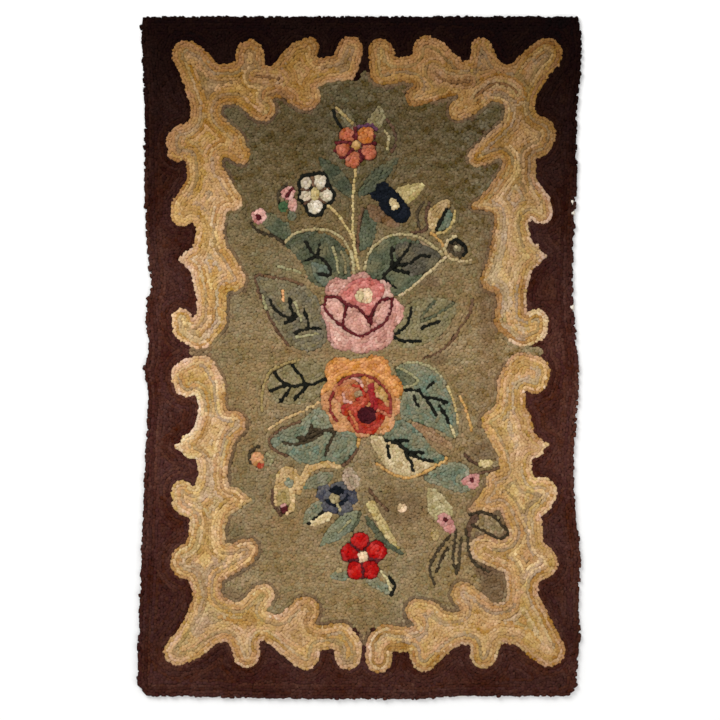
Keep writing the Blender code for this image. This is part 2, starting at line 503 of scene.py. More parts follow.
# %% The leaves under the orange rose
blob("teal", "leaf", (270, 443), (277, 432), (298, 423), (315, 409), (328, 414), (341, 428),
     (357, 434), (356, 448), (340, 464), (320, 464), (302, 463), (290, 457), (274, 449))
line("brown", (301, 421), (286, 427), (274, 434), (269, 442), (275, 450), (287, 456))
line("old gold", (359, 438), (355, 453), (341, 467))
limb("tan", "leaf", (341, 467, 1.8), (326, 464, 3.2), (309, 469, 4), (302, 480, 4), (299, 493, 3))
lines_of(
    "brown black",
    ((309, 429), (326, 430), (339, 428)), ((297, 438), (309, 436), (322, 431), (334, 432)),
    ((283, 443), (299, 444), (312, 440), (322, 434)), ((335, 432), (330, 443), (325, 455)),
    ((312, 425), (308, 434), (300, 442)),
)
blob("oat", "leaf", (370, 438), (385, 437), (410, 450), (440, 461), (429, 474), (411, 479),
     (392, 472), (379, 458))
blob("teal", "leaf", (385, 437), (393, 424), (403, 420), (418, 431), (431, 446), (446, 459),
     (434, 462), (414, 456), (400, 446))
line("old gold", (376, 463), (390, 473), (407, 478), (423, 473), (440, 463), (447, 458))
lines_of(
    "black",
    ((385, 440), (395, 443), (405, 449), (415, 457), (433, 462)), ((395, 440), (408, 441)),
    ((411, 452), (424, 453)), ((388, 446), (389, 459)), ((405, 453), (411, 463), (414, 471)),
)

# %% Stems
lines_of(
    "straw",
    ((356, 169), (354, 182), (353, 200), (353, 218), (353, 235), (356, 255), (359, 270)),
    ((327, 205), (338, 215), (347, 228), (354, 240)),
)
lines_of("brown", ((358, 448), (352, 458), (343, 466)), ((368, 488), (378, 501), (388, 511)))
line("dark teal", (361, 512), (357, 523), (351, 531))

# %% [markdown]
# Small flowers are a dark hooked line with petals inside it. A dark oval under pale petals gives
# that line wherever the petals leave it bare.

# %% The flower at the top
def petals(wool, *rounds, wider=0.0):
    for cx, cy, radius in rounds:
        oval(wool, "blossom", cx, cy, radius + wider)


CORAL_PETALS = ((347, 135, 6.8, "coral"), (366, 135, 8, "burnt orange"), (343, 149.5, 7, "coral"),
                (353, 159.5, 7.4, "coral"), (368.5, 152, 7.2, "coral"))
petals("wine", *(petal[:3] for petal in CORAL_PETALS), wider=2.2)
line("purple", (355, 129), (361, 126), (372, 125), (377, 130))
for *petal, wool in CORAL_PETALS:
    petals(wool, petal)
lines_of(
    "wine",
    ((356, 139), (356, 133), (355, 127)),
    ((336, 142.5), (344, 142), (351, 143)),
    ((345, 158), (349, 153), (352, 149)),
    ((360, 149), (361, 155), (361, 161)),
    ((361, 144), (368, 144), (376, 143)),
)
oval("old gold", "blossom", 356, 145, 3.8, 4.6)

# %% The pale flower and its buds
PALE_PETALS = ((306, 182.5, 5.6), (319.5, 181.5, 6.4), (326, 195, 6.4), (315.5, 206.5, 7.2), (305.5, 196, 6))
limb("black", "blossom", *((x, y, r + 2.4) for x, y, r in PALE_PETALS))
petals("pearl", *PALE_PETALS)
line("black", (300, 190), (299, 182), (302, 175.5), (310, 174.5), (320, 172.5), (327, 177), (329, 186),
     (334, 193), (333, 201), (325, 206), (322, 213), (315, 216), (308, 213), (305, 205), (299, 199),
     (300, 190))
lines_of(
    "brown",
    ((312.5, 176), (313.5, 186)), ((330, 187.5), (321, 189.5)), ((325, 203), (319, 199)),
    ((304, 204), (311, 200)), ((300, 189.5), (309, 190)),
)
oval("straw", "blossom", 315, 193.5, 4.2, 6.4)
limb("grey teal", "leaf", (268, 219, 7.5), (283, 231, 8.5))
line("brown black", (251, 223), (258, 231), (272, 236), (285, 243))
oval("pink", "blossom", 259, 216, 7.6)
oval("wine", "blossom", 258.5, 217, 3)
oval("pink", "blossom", 288, 193, 7.4, 6.4, turn=-40)
oval("pale pink", "blossom", 293, 205, 4.4, 6.3)
line("wine", (286, 196), (293, 188))
oval("leaf green", "leaf", 283, 207, 4.5, 5.5)
oval("sage teal", "leaf", 292, 216, 5, 5)
line("brown black", (278, 203), (279, 192), (287, 184))

# %% The navy flower
leaf("rust dark", (384, 222), (368, 204), 7, 7)
oval("rust dark", "blossom", 390, 222, 9, 5, turn=25)
blob("khaki", "blossom", (396, 190), (410, 184), (425, 184), (414, 200), (403, 203))
limb("navy", "blossom", (383, 190, 8), (391, 202, 12), (401, 213, 10))
limb("navy", "blossom", (373, 195, 3.5), (384, 197, 6))
oval("linen", "blossom", 394, 204, 4.4, 7, turn=-28)

# %% The two-coloured leaf and the dark bud
leaf("tan", (433, 233), (449, 198), 13, 9)
leaf("teal", (438, 230), (450, 206), 0.5, 8)
line("black", (447, 209), (441, 220), (436, 230))
line("brown black", (424, 202), (417, 214), (419, 227))
line("brown", (430, 202), (426, 214), (426, 229), (411, 233))
line("straw", (455, 210), (454, 221), (446, 231), (430, 235))
line("old gold", (431, 233), (440, 240), (445, 248))
oval("brown black", "leaf", 458, 248, 11, 8.8, turn=30)
line("black", (450, 243), (455, 240), (462, 243), (466, 250), (463, 256))
oval("grey olive", "leaf", 457, 248, 4.8, 3.6, turn=30)
oval("pale khaki", "leaf", 456.5, 247, 2, 1.6)
line("oat", (472, 260), (462, 261), (451, 259), (445, 250), (448, 240), (457, 236))

# %% The small blossoms under the roses
oval("light olive", "leaf", 268, 460, 6, 6.5)
oval("peach gold", "blossom", 258, 460, 7, 8.5, turn=-20)
oval("old red", "blossom", 260.5, 465.5, 3.4)
line("brown black", (250, 463), (249, 456), (252, 450), (259, 446))
line("pale sage", (267, 453), (272, 459), (270, 466))
limb("tan", "leaf", (288, 478, 12), (284, 492, 11), (284, 505, 11))
limb("dull gold", "leaf", (283, 495, 6.5), (284, 503, 6.5))
oval("teal", "leaf", 289.5, 483, 5)
oval("pink", "blossom", 284, 508, 4.5)
oval("wine", "blossom", 284.5, 510, 3.2)
line("brown", (273, 490), (273, 504), (281, 516))
leaf("teal", (334, 473), (303, 488), 7, 7)
leaf("teal", (324, 499), (302, 524), 9, 6)
oval("dusty pink", "leaf", 351, 479, 8, 12, turn=-20)
petals(
    "slate blue",
    (325, 494, 8.5), (338, 490, 8.5), (349, 498, 8.5), (344, 508, 8.5), (330, 507, 8.5),
)
oval("navy", "blossom", 337, 491, 7.5, 4.5)
line("navy", (326, 500), (333, 505), (343, 503), (348, 495))
oval("pale khaki", "blossom", 334, 498.5, 4.6, 5)
line("pale khaki", (338, 503), (340, 511))
line("black", (308, 524), (323, 512))
limb("linen", "leaf", (313, 524, 3.5), (328, 516, 4.6))
oval("shell pink", "blossom", 402, 508, 4.6)

# %% Leaves and stems of the red flower
leaf("sage teal", (358, 511), (319, 547), 9, 8)
line("pale sage", (351, 520), (338, 533))
limb("khaki", "leaf", (371, 505, 4.5), (385, 529, 4.5), (399, 550, 1.8))
limb("dark teal", "leaf", (367, 518, 2.5), (383, 542, 3.2), (402, 554, 1.5))
oval("teal", "leaf", 340, 576, 10, 5)
oval("oat", "blossom", 339, 570, 3.2)
limb("teal", "leaf", (371, 580, 5.5), (388, 591, 4))
line("cream", (381, 571), (387, 580), (391, 591))
line("black", (389, 576), (395, 586), (391, 596))

# %% The red flower
RED_PETALS = ((360, 541, 8.3), (376.5, 551, 9.2), (369.5, 570, 8.6), (355.5, 571, 8.2), (350.5, 553, 9))
petals("wine", *RED_PETALS, wider=1.6)
petals("scarlet", *RED_PETALS)
lines_of(
    "wine",
    ((369, 543), (365, 551)), ((351, 544), (358, 551)), ((348, 561), (357, 560)),
    ((363, 563), (363, 578)), ((380, 561), (369, 559)),
)
oval("shell pink", "blossom", 362.5, 557, 5)

# %% Buds and tendrils at the lower right
blob("teal", "leaf", (424, 479), (440, 467), (455, 462), (468, 467), (472, 488), (462, 493),
     (447, 489), (436, 485))
blob("pink", "blossom", (461, 481), (469, 475), (479, 473), (479, 482), (477, 488), (468, 487))
oval("wine", "blossom", 471.5, 480.5, 2.6, 3)
lines_of("brown", ((464, 454), (471, 461), (481, 466)), ((479, 474), (490, 471), (499, 468)))
oval("straw", "leaf", 486, 463, 7, 4.5)
blob("pale khaki", "leaf", (428, 489), (438, 491), (450, 505), (453, 516), (446, 524), (438, 521),
     (428, 511))
blob("pink", "blossom", (437, 517), (446, 513), (452, 519), (455, 530), (450, 534), (443, 529))
oval("wine", "blossom", 445.5, 520, 3)
oval("dull gold", "leaf", 435, 535, 4.5, 6)
limb("brown", "leaf", (468, 537, 2.2), (470, 525, 3.4), (476, 517, 3.4))
lines_of(
    "brown black",
    ((450, 536), (439, 549), (432, 561), (430, 572), (435, 586)),
    ((456, 530), (454, 546), (453, 559), (457, 575)),
    ((462, 538), (460, 553), (459, 571)),
    ((448, 548), (441, 560), (437, 572)),
    ((466, 529), (468, 544), (471, 558), (479, 567), (489, 572)),
    ((469, 515), (481, 512), (494, 517), (502, 525), (508, 533), (500, 539), (487, 533), (472, 525)),
)

# %% [markdown]
# The two roses are the heart of the bunch. Each is a ring of lobes round a full middle, then the
# folded inner petals, each in its own wool, and last the dark line that parts them.

# %% The pink rose
def lobes(patch, *rounds):
    """Widens a patch by round lobes."""
    for cx, cy, radius in rounds:
        oval(None, None, cx, cy, radius, onto=patch)


rose = oval("rose pink", "blossom", 361, 313, 37)
lobes(rose, (338, 291, 13), (361, 284, 12), (379, 291, 12), (389, 312, 15), (377, 334, 16.5),
      (361, 337, 17), (344, 334, 16.5), (334, 311, 13.5))
blob("deep pink", "blossom", (338, 299), (345, 287), (357, 279), (374, 279), (385, 288), (379, 302),
     (371, 318), (360, 308))
oval("pale pink", "blossom", 335, 309, 9, 12, turn=-35)
oval("pale pink", "blossom", 383, 311, 7, 14, turn=22)
oval("pale pink", "blossom", 358, 324, 14, 12)
oval("shell pink", "blossom", 364, 295.5, 9.2, 8)
oval("linen", "blossom", 360, 296, 4.5, 5.5)
lines_of(
    "wine",
    ((326, 297), (338, 297), (347, 304), (360, 309), (367, 318), (371, 326)),
    ((371, 324), (372, 313), (378, 303), (389, 298)),
    ((347, 306), (345, 313), (343.5, 321), (344, 329)),
    ((325, 299), (325, 308), (330, 315), (338, 323), (346, 329), (354, 334), (361, 336), (372, 331),
     (385, 322), (391, 310), (392, 298)),
)

# %% The orange rose
rose = oval("amber", "blossom", 361, 394, 36)
lobes(rose, (340, 372, 15), (375, 371, 16), (332, 394, 12), (390, 388, 13))
rose = oval("peach gold", "blossom", 361, 407, 35, 26)
lobes(rose, (333, 402, 12), (389, 407, 12), (343, 418, 14), (382, 421, 13), (363, 428, 10))
oval("salmon", "blossom", 351, 391, 18, 16)
oval("rust", "blossom", 359, 394, 5, 4)
lines_of(
    "pale pink",
    ((343, 393), (346, 401), (355, 403), (361, 397)), ((348, 378), (357, 379), (363, 386)),
)
line("old red", (352, 385), (361, 388), (364, 396), (357, 400))
rose = limb("old red", "blossom", (346, 410, 6), (358, 406, 4.5), (370, 396, 4.5))
limb("old red", "blossom", (370, 396, 4.5), (377, 405, 5), (388, 412, 5), onto=rose)
limb("old red", "blossom", (353, 416, 6), (360, 426, 7.2), (372, 427, 7), (379, 417, 6), onto=rose)
limb("crimson", "blossom", (371, 386, 2.6), (372, 396, 3.4), (375, 406, 3.6))
oval("old gold", "blossom", 383, 394, 4, 8.5, turn=-25)
line("salmon", (349, 411), (354, 419), (358, 429))
line("coral", (377, 410), (385, 414), (391, 416))
oval("aubergine", "blossom", 367, 415, 9, 8.5)
lines_of(
    "brick",
    ((338, 385), (346, 378), (356, 375), (367, 376), (378, 381), (387, 391), (391, 402), (391, 413)),
    ((337, 421), (331, 412), (330, 402), (333, 392)),
)
print(len(patches), "patches,", len(lines), "of them single rows")

# %% [markdown]
# ## Rows of loops
#
# A hooker outlines a patch first and then follows that line inwards, row after row. Those rows
# are the lines of equal distance from the patch's edge. The next function measures, for every
# cell, how far off the nearest cell of another patch is, first along the rows of the paper and
# then down its columns. A light blur takes the steps of the cells out of the distances.


# %% Distance from the edge of a patch
def distance_from_other(label, reach):
    """For each cell, the distance in cells to the nearest cell with another label, up to reach."""
    rows, columns = label.shape
    flat = np.full(label.shape, float(reach))
    run = np.full(rows, float(reach))
    for i in range(1, columns):
        run = np.where(label[:, i] == label[:, i - 1], run + 1, 1)
        flat[:, i] = np.minimum(flat[:, i], run)
    run = np.full(rows, float(reach))
    for i in range(columns - 2, -1, -1):
        run = np.where(label[:, i] == label[:, i + 1], run + 1, 1)
        flat[:, i] = np.minimum(flat[:, i], run)
    best = flat**2
    for step in range(1, reach):
        for a, b in ((slice(step, None), slice(None, -step)), (slice(None, -step), slice(step, None))):
            along = np.where(label[b] == label[a], flat[b] ** 2, 0)
            best[a] = np.minimum(best[a], along + step**2)
    return np.sqrt(best)


REACH_CELLS = 46
edge = distance_from_other(owner, reach=REACH_CELLS) * CELL - CELL / 2
edge[1:-1, 1:-1] = (
    4 * edge[1:-1, 1:-1] + edge[:-2, 1:-1] + edge[2:, 1:-1] + edge[1:-1, :-2] + edge[1:-1, 2:]
) / 8
print("deepest place", round(edge[on_rug].max(), 1), "threads from its patch's edge")

# %% [markdown]
# Marching squares turns a grid of heights into level lines: wherever a line passes between two
# neighbouring cells, one above and one below the level, it crosses the edge between them.

# %% Level lines
# Corners of a square: 1 upper left, 2 upper right, 4 lower right, 8 lower left.
# Sides that the line joins, for each sum of the corners above the level.
SIDES = {
    1: ("left", "top"), 2: ("top", "right"), 3: ("left", "right"), 4: ("right", "bottom"),
    6: ("top", "bottom"), 7: ("left", "bottom"), 8: ("bottom", "left"), 9: ("top", "bottom"),
    11: ("right", "bottom"), 12: ("left", "right"), 13: ("top", "right"), 14: ("left", "top"),
}
SADDLES = {5: (("left", "top"), ("right", "bottom")), 10: (("top", "right"), ("bottom", "left"))}


def level_lines(height, level):
    """The lines of a grid where its height is the level, each an array of (across, down)."""
    columns = height.shape[1]
    above = height > level
    corner_sum = above[:-1, :-1] + 2 * above[:-1, 1:] + 4 * above[1:, 1:] + 8 * above[1:, :-1]
    joined = {}
    cases = [(code, (pair,)) for code, pair in SIDES.items()] + list(SADDLES.items())
    for code, pairs in cases:
        j, i = np.nonzero(corner_sum == code)
        cell = j * columns + i
        side = {"top": 2 * cell, "left": 2 * cell + 1, "bottom": 2 * (cell + columns), "right": 2 * cell + 3}
        for a, b in pairs:
            for start, end in zip(side[a].tolist(), side[b].tolist()):
                joined.setdefault(start, []).append(end)
                joined.setdefault(end, []).append(start)
    chains = []
    while joined:
        here, following = joined.popitem()
        chain = [here]
        while following:
            after = following.pop()
            if after not in joined:
                break
            chain.append(after)
            left_over = joined.pop(after)
            left_over.remove(chain[-2])
            following = left_over
        chains.append(crossings(height, level, np.array(chain)))
    return chains


def crossings(height, level, sides):
    """Where the level is crossed on each numbered side of the squares."""
    j, i = np.divmod(sides // 2, height.shape[1])
    upright = sides % 2
    a, b = height[j, i], height[j + upright, i + 1 - upright]
    t = np.clip((level - a) / np.where(a == b, 1, b - a), 0, 1)
    x = across[0] + CELL * (i + t * (1 - upright))
    y = down[0] + CELL * (j + t * upright)
    return np.column_stack([x, y])


# %% [markdown]
# Loops stand a little over four millimetres apart along a row. A strip of wool lasts for some
# thirty loops, and then another strip follows, which is rarely quite the same colour. No loop
# stands quite on its line: least in a patch, more along its outline, most in the open ground.

# %% Loops along a row
LOOP_PITCH = 3.0
PITCH_SPREAD = 0.13
LOOK_AHEAD = 1.2
STRAY = 0.28
EDGE_STRAY = 0.5
GROUND_STRAY = 0.75
STRAIGHT = 99  # stands for the row number of loops in straight rows
FILLER = 98  # and of single loops that fill a gap
STRIP_LOOPS = (14, 40)
LONGEST_OFFCUT = 30
SEED = 1890
rng = np.random.default_rng(SEED)
rows_made = []
strip_count = 0


def hook_row(path, depth, closed):
    """Places loops along a path, and notes for each its direction, strip and row number."""
    global strip_count
    ring = np.vstack([path, path[:1]]) if closed else path
    steps = np.hypot(*np.diff(ring, axis=0).T)
    length = steps.sum()
    count = max(int(round(length / LOOP_PITCH)), 1)
    places = (np.arange(count) + 0.5 + rng.normal(0, PITCH_SPREAD, count)) * length / count
    along = np.concatenate([[0], np.cumsum(steps)])
    x, y = (np.interp(places, along, ring[:, axis]) for axis in (0, 1))
    ahead, behind = (np.clip(places + step, 0, length) for step in (LOOK_AHEAD, -LOOK_AHEAD))
    dx, dy = (
        np.interp(ahead, along, ring[:, axis]) - np.interp(behind, along, ring[:, axis])
        for axis in (0, 1)
    )
    stray = EDGE_STRAY if closed and depth == 0 else GROUND_STRAY if depth == STRAIGHT else STRAY
    x = x + rng.normal(0, stray, count)
    y = y + rng.normal(0, stray, count)
    dy = dy + rng.normal(0, stray, count)
    used = rng.integers(0, LONGEST_OFFCUT)
    strip = strip_count + (np.arange(count) + used) // rng.integers(*STRIP_LOOPS)
    strip_count = strip[-1] + 1
    rows_made.append(np.column_stack([x, y, dx, dy, strip, np.full(count, depth)]))


# %% Rows of the lines, and rows that follow the edges
DEEPEST_ROW = 12

for patch, path in lines:
    hook_row(path, 0, closed=False)
    own = owner[cells_at(*rows_made[-1][:, :2].T)]
    rows_made[-1] = rows_made[-1][own == patch]
line_loops = sum(len(row) for row in rows_made)

for depth in range(DEEPEST_ROW):
    for chain in level_lines(np.where(on_rug, edge, 0), (depth + 0.5) * ROW):
        hook_row(chain, depth, closed=True)
echo_loops = sum(len(row) for row in rows_made) - line_loops
print(line_loops, "loops in lines,", echo_loops, "in rows that follow an edge")

# %% [markdown]
# The ground is different. After two rows round every motif, it is filled with rows that run
# straight across the rug and waver a little, because nothing guides them but the weave.

# %% Straight rows of the ground
WAVER = 0.9
FIELD_ACROSS = (205, 515, 2.0)
FIELD_DOWN = (70, 640, ROW)
ROWS_ROUND_MOTIFS = 2

for y in np.arange(*FIELD_DOWN):
    x = np.arange(*FIELD_ACROSS)
    bend = WAVER * (np.sin(x / 31 + y / 53) + 0.5 * np.sin(x / 13 - y / 37 + 1.3))
    hook_row(np.column_stack([x + rng.uniform(0, LOOP_PITCH), y + bend]), STRAIGHT, closed=False)

loops = np.vstack(rows_made)
cell_y, cell_x = cells_at(loops[:, 0], loops[:, 1])
cell_y, cell_x = np.clip(cell_y, 0, SHEET[0] - 1), np.clip(cell_x, 0, SHEET[1] - 1)
loop_owner = owner[cell_y, cell_x]
is_straight = loops[:, 5] == STRAIGHT
in_ground = loop_owner == GROUND
single = np.array([patch["single_row"] for patch in patches] + [False])[loop_owner]
keep = np.where(
    is_straight,
    in_ground & (edge[cell_y, cell_x] > ROWS_ROUND_MOTIFS * ROW),
    ~in_ground | (loops[:, 5] < ROWS_ROUND_MOTIFS),
)
keep &= loop_owner != NOBODY
keep[line_loops:] &= ~single[line_loops:]
loops, loop_owner = loops[keep], loop_owner[keep]
print(len(loops), "loops before thinning")

# %% [markdown]
# Rows that close in on each other would crowd their loops in the middle of a patch, and leave
# bare spots elsewhere. Each loop is kept only where no earlier one stands too near, and then
# single loops go wherever the cloth would still show. They are pulled from the strip beside them.

# %% Thinning and filling
TOO_NEAR = 2.0
BARE = 2.08
PATCH_RIM = 0.9
taken = {}


def free_at(x, y):
    """Whether no loop stands too near a place."""
    i, j = int(x / TOO_NEAR), int(y / TOO_NEAR)
    for near_i in (i - 1, i, i + 1):
        for near_j in (j - 1, j, j + 1):
            for ox, oy in taken.get((near_i, near_j), ()):
                if (ox - x) ** 2 + (oy - y) ** 2 < TOO_NEAR**2:
                    return False
    return True


def stand(x, y):
    taken.setdefault((int(x / TOO_NEAR), int(y / TOO_NEAR)), []).append((x, y))


kept = []
for n, (x, y) in enumerate(loops[:, :2].tolist()):
    if free_at(x, y):
        stand(x, y)
        kept.append(n)
loops, loop_owner = loops[kept], loop_owner[kept]

loop_cells = cells_at(loops[:, 0], loops[:, 1])
stands = np.zeros(SHEET, np.int8)
stands[loop_cells] = 1
to_loop = distance_from_other(stands, reach=6) * CELL
to_loop[stands == 1] = 0
gap_y, gap_x = np.nonzero((to_loop > BARE) & on_rug & (edge > PATCH_RIM))
strip_at = np.full(SHEET, NOBODY)
strip_at[loop_cells] = loops[:, 4]
for shift, axis in ((1, 0), (-1, 0), (1, 1), (-1, 1)) * 5:
    strip_at = np.where(strip_at < 0, np.roll(strip_at, shift, axis), strip_at)
fillers = []
for n in np.argsort(-to_loop[gap_y, gap_x], kind="stable"):
    x, y = across[gap_x[n]], down[gap_y[n]]
    if free_at(x, y):
        stand(x, y)
        strip = max(strip_at[gap_y[n], gap_x[n]], 0)
        fillers.append((x, y, *rng.normal(0, 1, 2), strip, FILLER))
fillers = np.array(fillers)
loops = np.vstack([loops, fillers])
loop_owner = np.concatenate([loop_owner, owner[cells_at(*fillers[:, :2].T)]])
print(len(kept), "loops in rows,", len(fillers), "fill gaps,", len(loops), "in all")

# %% [markdown]
# The long edges of the rug have no binding. Their outermost loops bulge over the cloth, each by
# its own amount, which gives the edge its scallops. The two ends were hooked straighter.

# %% Scallops of the long edges
SCALLOP = 0.9
SCALLOP_PERIOD = 8.5
SCALLOP_STRAY = 0.35
LONG_SIDE = 200

to_rim = distance_from_other(on_rug.astype(np.int8), reach=8) * CELL - CELL / 2
outermost = to_rim[cells_at(loops[:, 0], loops[:, 1], rounding=0)] < ROW
long_side = outermost & (np.abs(loops[:, 0] - SHEET_MIDDLE[0]) > LONG_SIDE)
bulge = np.sin(loops[:, 1] * 2 * math.pi / SCALLOP_PERIOD + 2 * np.sin(loops[:, 1] / 23))
bulge = SCALLOP * (0.25 + 0.6 * bulge) + rng.normal(0, SCALLOP_STRAY, len(loops))
loops[:, 0] += np.where(long_side, np.sign(loops[:, 0] - SHEET_MIDDLE[0]) * bulge, 0)
print(long_side.sum(), "loops on the long edges")

# %% [markdown]
# ## Dyes
#
# The wool was dyed at home or came from worn clothes, so no two strips match. Each wool is a
# short list of colours, in the 0 to 255 steps of a paint program, and each strip picks one.

# %% Wools
WOOLS = {
    "old red": ((172, 62, 44), (160, 50, 38), (188, 90, 60), (166, 42, 35)),
    "light olive": ((132, 119, 84), (123, 111, 80), (139, 127, 91), (126, 117, 88)),
    "oat": ((188, 166, 126), (178, 156, 115), (196, 176, 135)),
    "salmon": ((186, 116, 74), (196, 134, 88), (174, 102, 66)),
    "brick": ((128, 48, 42), (112, 40, 38), (146, 66, 52)),
    "surround": ((70, 39, 31), (80, 46, 34), (60, 33, 28), (74, 42, 34), (66, 35, 32)),
    "ground": (
        (140, 117, 80), (132, 110, 76), (149, 124, 86), (124, 106, 74), (143, 117, 80), (133, 117, 82)
    ),
    "gold edge": ((188, 141, 86), (176, 127, 73), (200, 156, 99), (168, 121, 73), (192, 152, 102)),
    "gold": ((204, 160, 98), (188, 142, 82), (214, 176, 116), (182, 142, 90), (206, 160, 104)),
    "buff": ((210, 173, 115), (198, 160, 102), (219, 187, 132), (190, 153, 102), (206, 164, 115)),
    "spine": ((178, 152, 115), (167, 143, 111), (192, 166, 123), (182, 152, 114), (201, 173, 129)),
    "olive dark": ((96, 84, 56), (84, 74, 50), (104, 92, 62)),
    "fold": ((150, 112, 70), (136, 100, 62), (162, 124, 80)),
    "black": ((22, 22, 16), (16, 17, 12), (30, 28, 21)),
    "brown black": ((68, 57, 40), (57, 46, 32), (82, 69, 50)),
    "brown": ((98, 72, 52), (86, 62, 48), (112, 84, 60)),
    "rust dark": ((126, 96, 66), (114, 88, 62)),
    "rust": ((156, 124, 90), (144, 112, 82), (166, 136, 100)),
    "tan": ((186, 154, 104), (174, 142, 94), (196, 166, 116)),
    "old gold": ((190, 147, 84), (178, 134, 74), (199, 159, 98)),
    "straw": ((189, 166, 112), (179, 155, 101), (197, 176, 123)),
    "cream": ((196, 179, 130), (185, 167, 119), (205, 189, 143)),
    "linen": ((206, 184, 138), (196, 172, 126), (214, 194, 150)),
    "pearl": ((214, 200, 176), (204, 188, 160), (220, 208, 188), (198, 180, 150)),
    "shell pink": ((228, 195, 156), (220, 184, 144), (236, 206, 170)),
    "khaki": ((184, 163, 109), (174, 152, 101), (192, 173, 119)),
    "pale sage": ((162, 153, 113), (151, 144, 105)),
    "sage": ((130, 117, 83), (122, 110, 78), (139, 125, 90)),
    "sage teal": ((116, 118, 95), (124, 126, 98), (107, 112, 92)),
    "grey olive": ((116, 105, 80), (104, 96, 76), (127, 114, 83), (110, 102, 83)),
    "grey teal": ((89, 94, 72), (80, 86, 66), (97, 100, 76)),
    "teal": (
        (98, 115, 98), (130, 124, 96), (114, 121, 98), (104, 118, 99), (138, 135, 110), (118, 114, 91)
    ),
    "blue teal": ((98, 108, 92), (90, 100, 86)),
    "dark teal": ((83, 86, 65), (75, 79, 60), (92, 93, 70)),
    "leaf green": ((74, 104, 66), (66, 94, 60)),
    "plum grey": ((90, 84, 69), (80, 75, 62), (99, 91, 74)),
    "dusty pink": ((172, 148, 124), (162, 137, 116), (158, 142, 116)),
    "pink": ((208, 148, 138), (198, 134, 125), (215, 165, 151)),
    "pale pink": ((207, 154, 138), (197, 145, 129), (215, 167, 149)),
    "rose pink": ((203, 153, 136), (186, 134, 120), (216, 176, 158), (180, 127, 113), (207, 149, 134)),
    "deep pink": ((198, 119, 109), (189, 105, 97), (207, 137, 123)),
    "peach": ((222, 164, 112), (214, 152, 102)),
    "peach gold": ((206, 150, 100), (196, 138, 90), (216, 166, 114), (190, 134, 90)),
    "amber": ((206, 142, 80), (196, 129, 70), (216, 154, 89), (190, 127, 78)),
    "coral": ((180, 103, 72), (168, 93, 66), (190, 118, 82), (184, 101, 76)),
    "scarlet": ((184, 28, 25), (172, 22, 21), (194, 42, 33)),
    "crimson": ((160, 44, 44), (148, 36, 40)),
    "wine": ((88, 28, 32), (78, 24, 28), (100, 36, 38)),
    "burnt orange": ((190, 114, 62), (178, 102, 56), (198, 128, 70)),
    "dull gold": ((158, 136, 88), (148, 126, 80), (170, 146, 98)),
    "pale khaki": ((172, 156, 114), (162, 146, 104), (180, 166, 124)),
    "purple": ((96, 58, 80), (86, 50, 72)),
    "aubergine": ((72, 20, 27), (62, 16, 24)),
    "navy": ((15, 20, 28), (11, 16, 23), (23, 28, 38)),
    "slate blue": ((75, 75, 84), (62, 63, 75), (92, 90, 94), (104, 101, 99)),
}


def linear(colours):
    """Paint-program colours as the linear light that a shader works in."""
    share = np.array(colours, float) / 255
    return np.where(share <= 0.04045, share / 12.92, ((share + 0.055) / 1.055) ** 2.4)


# %% [markdown]
# The scroll changes wool row by row: gold at its edge, paler inside, and greyish along its spine.
# The ground and the surround change slowly over the rug, where a dye lot ran out or the light has
# faded it. A few broad waves, added up, give those slow changes.

# %% Which wool each loop is pulled from
SCROLL_ROWS = (
    ("gold edge", "gold edge", "gold", "gold edge", "buff"),
    ("gold", "buff", "gold edge", "gold"),
    ("buff", "gold", "buff", "spine", "gold"),
    ("spine", "spine", "gold", "buff", "spine"),
    ("buff", "spine", "gold", "buff"),
)
WAVES_ADDED = 7
PERIOD_RANGE = (0.7, 1.8)
USUAL_CREST = 3.2

x, y = loops[:, 0], loops[:, 1]
strip = loops[:, 4].astype(int)
strip_pick = rng.integers(0, 1000, strip_count + 60)
loop_pick = rng.integers(0, 1000, len(loops))
here_cells = cells_at(x, y, rounding=0)
inset = edge[here_cells]
wool_of = np.array([patch["wool"] for patch in patches])[loop_owner].astype("U12")
row_number = np.clip((inset / ROW).astype(int), 0, len(SCROLL_ROWS) - 1)
of_scroll = loop_owner == SCROLL
for number, choices in enumerate(SCROLL_ROWS):
    here = of_scroll & (row_number == number)
    wool_of[here] = np.array(choices)[strip_pick[strip[here]] // 7 % len(choices)]


def slow_wave(size, seed):
    """A smooth random number from -1 to 1 for each loop, in patches this many threads across."""
    draws = np.random.default_rng(seed)
    total = np.zeros_like(x)
    for _ in range(WAVES_ADDED):
        angle, phase = draws.uniform(0, 2 * math.pi, 2)
        period = size * draws.uniform(*PERIOD_RANGE)
        total += np.sin((x * math.cos(angle) + y * math.sin(angle)) * 2 * math.pi / period + phase)
    return np.clip(total / USUAL_CREST, -1, 1)


def waves(*layers):
    """Slow waves added up, each given as its strength, size and seed."""
    return sum(strength * slow_wave(size, seed) for strength, size, seed in layers)


# %% [markdown]
# A loop's colour is mostly that of its strip, and partly its own. Strips of the scroll are calmed
# a little toward what is usual for their row, so that none of them stands out too far.

# %% The colour of each loop
STRIP_SHARE = {"ground": 0.45, "gold edge": 0.85, "gold": 0.9, "buff": 0.9, "spine": 0.9}
OTHER_STRIP_SHARE = 0.6
HUE_SPREAD = 0.02
LIGHT_SPREAD = 0.085
CALM = 0.2

dye = np.zeros((len(loops), 3))
for wool in np.unique(wool_of):
    colours = linear(WOOLS[wool])
    mine = wool_of == wool
    first = colours[strip_pick[strip[mine]] % len(colours)]
    second = colours[loop_pick[mine] % len(colours)]
    share = STRIP_SHARE.get(wool, OTHER_STRIP_SHARE)
    dye[mine] = share * first + (1 - share) * second
dye *= 1 + rng.normal(0, HUE_SPREAD, (len(loops), 3))
print(len(np.unique(wool_of)), "wools used")


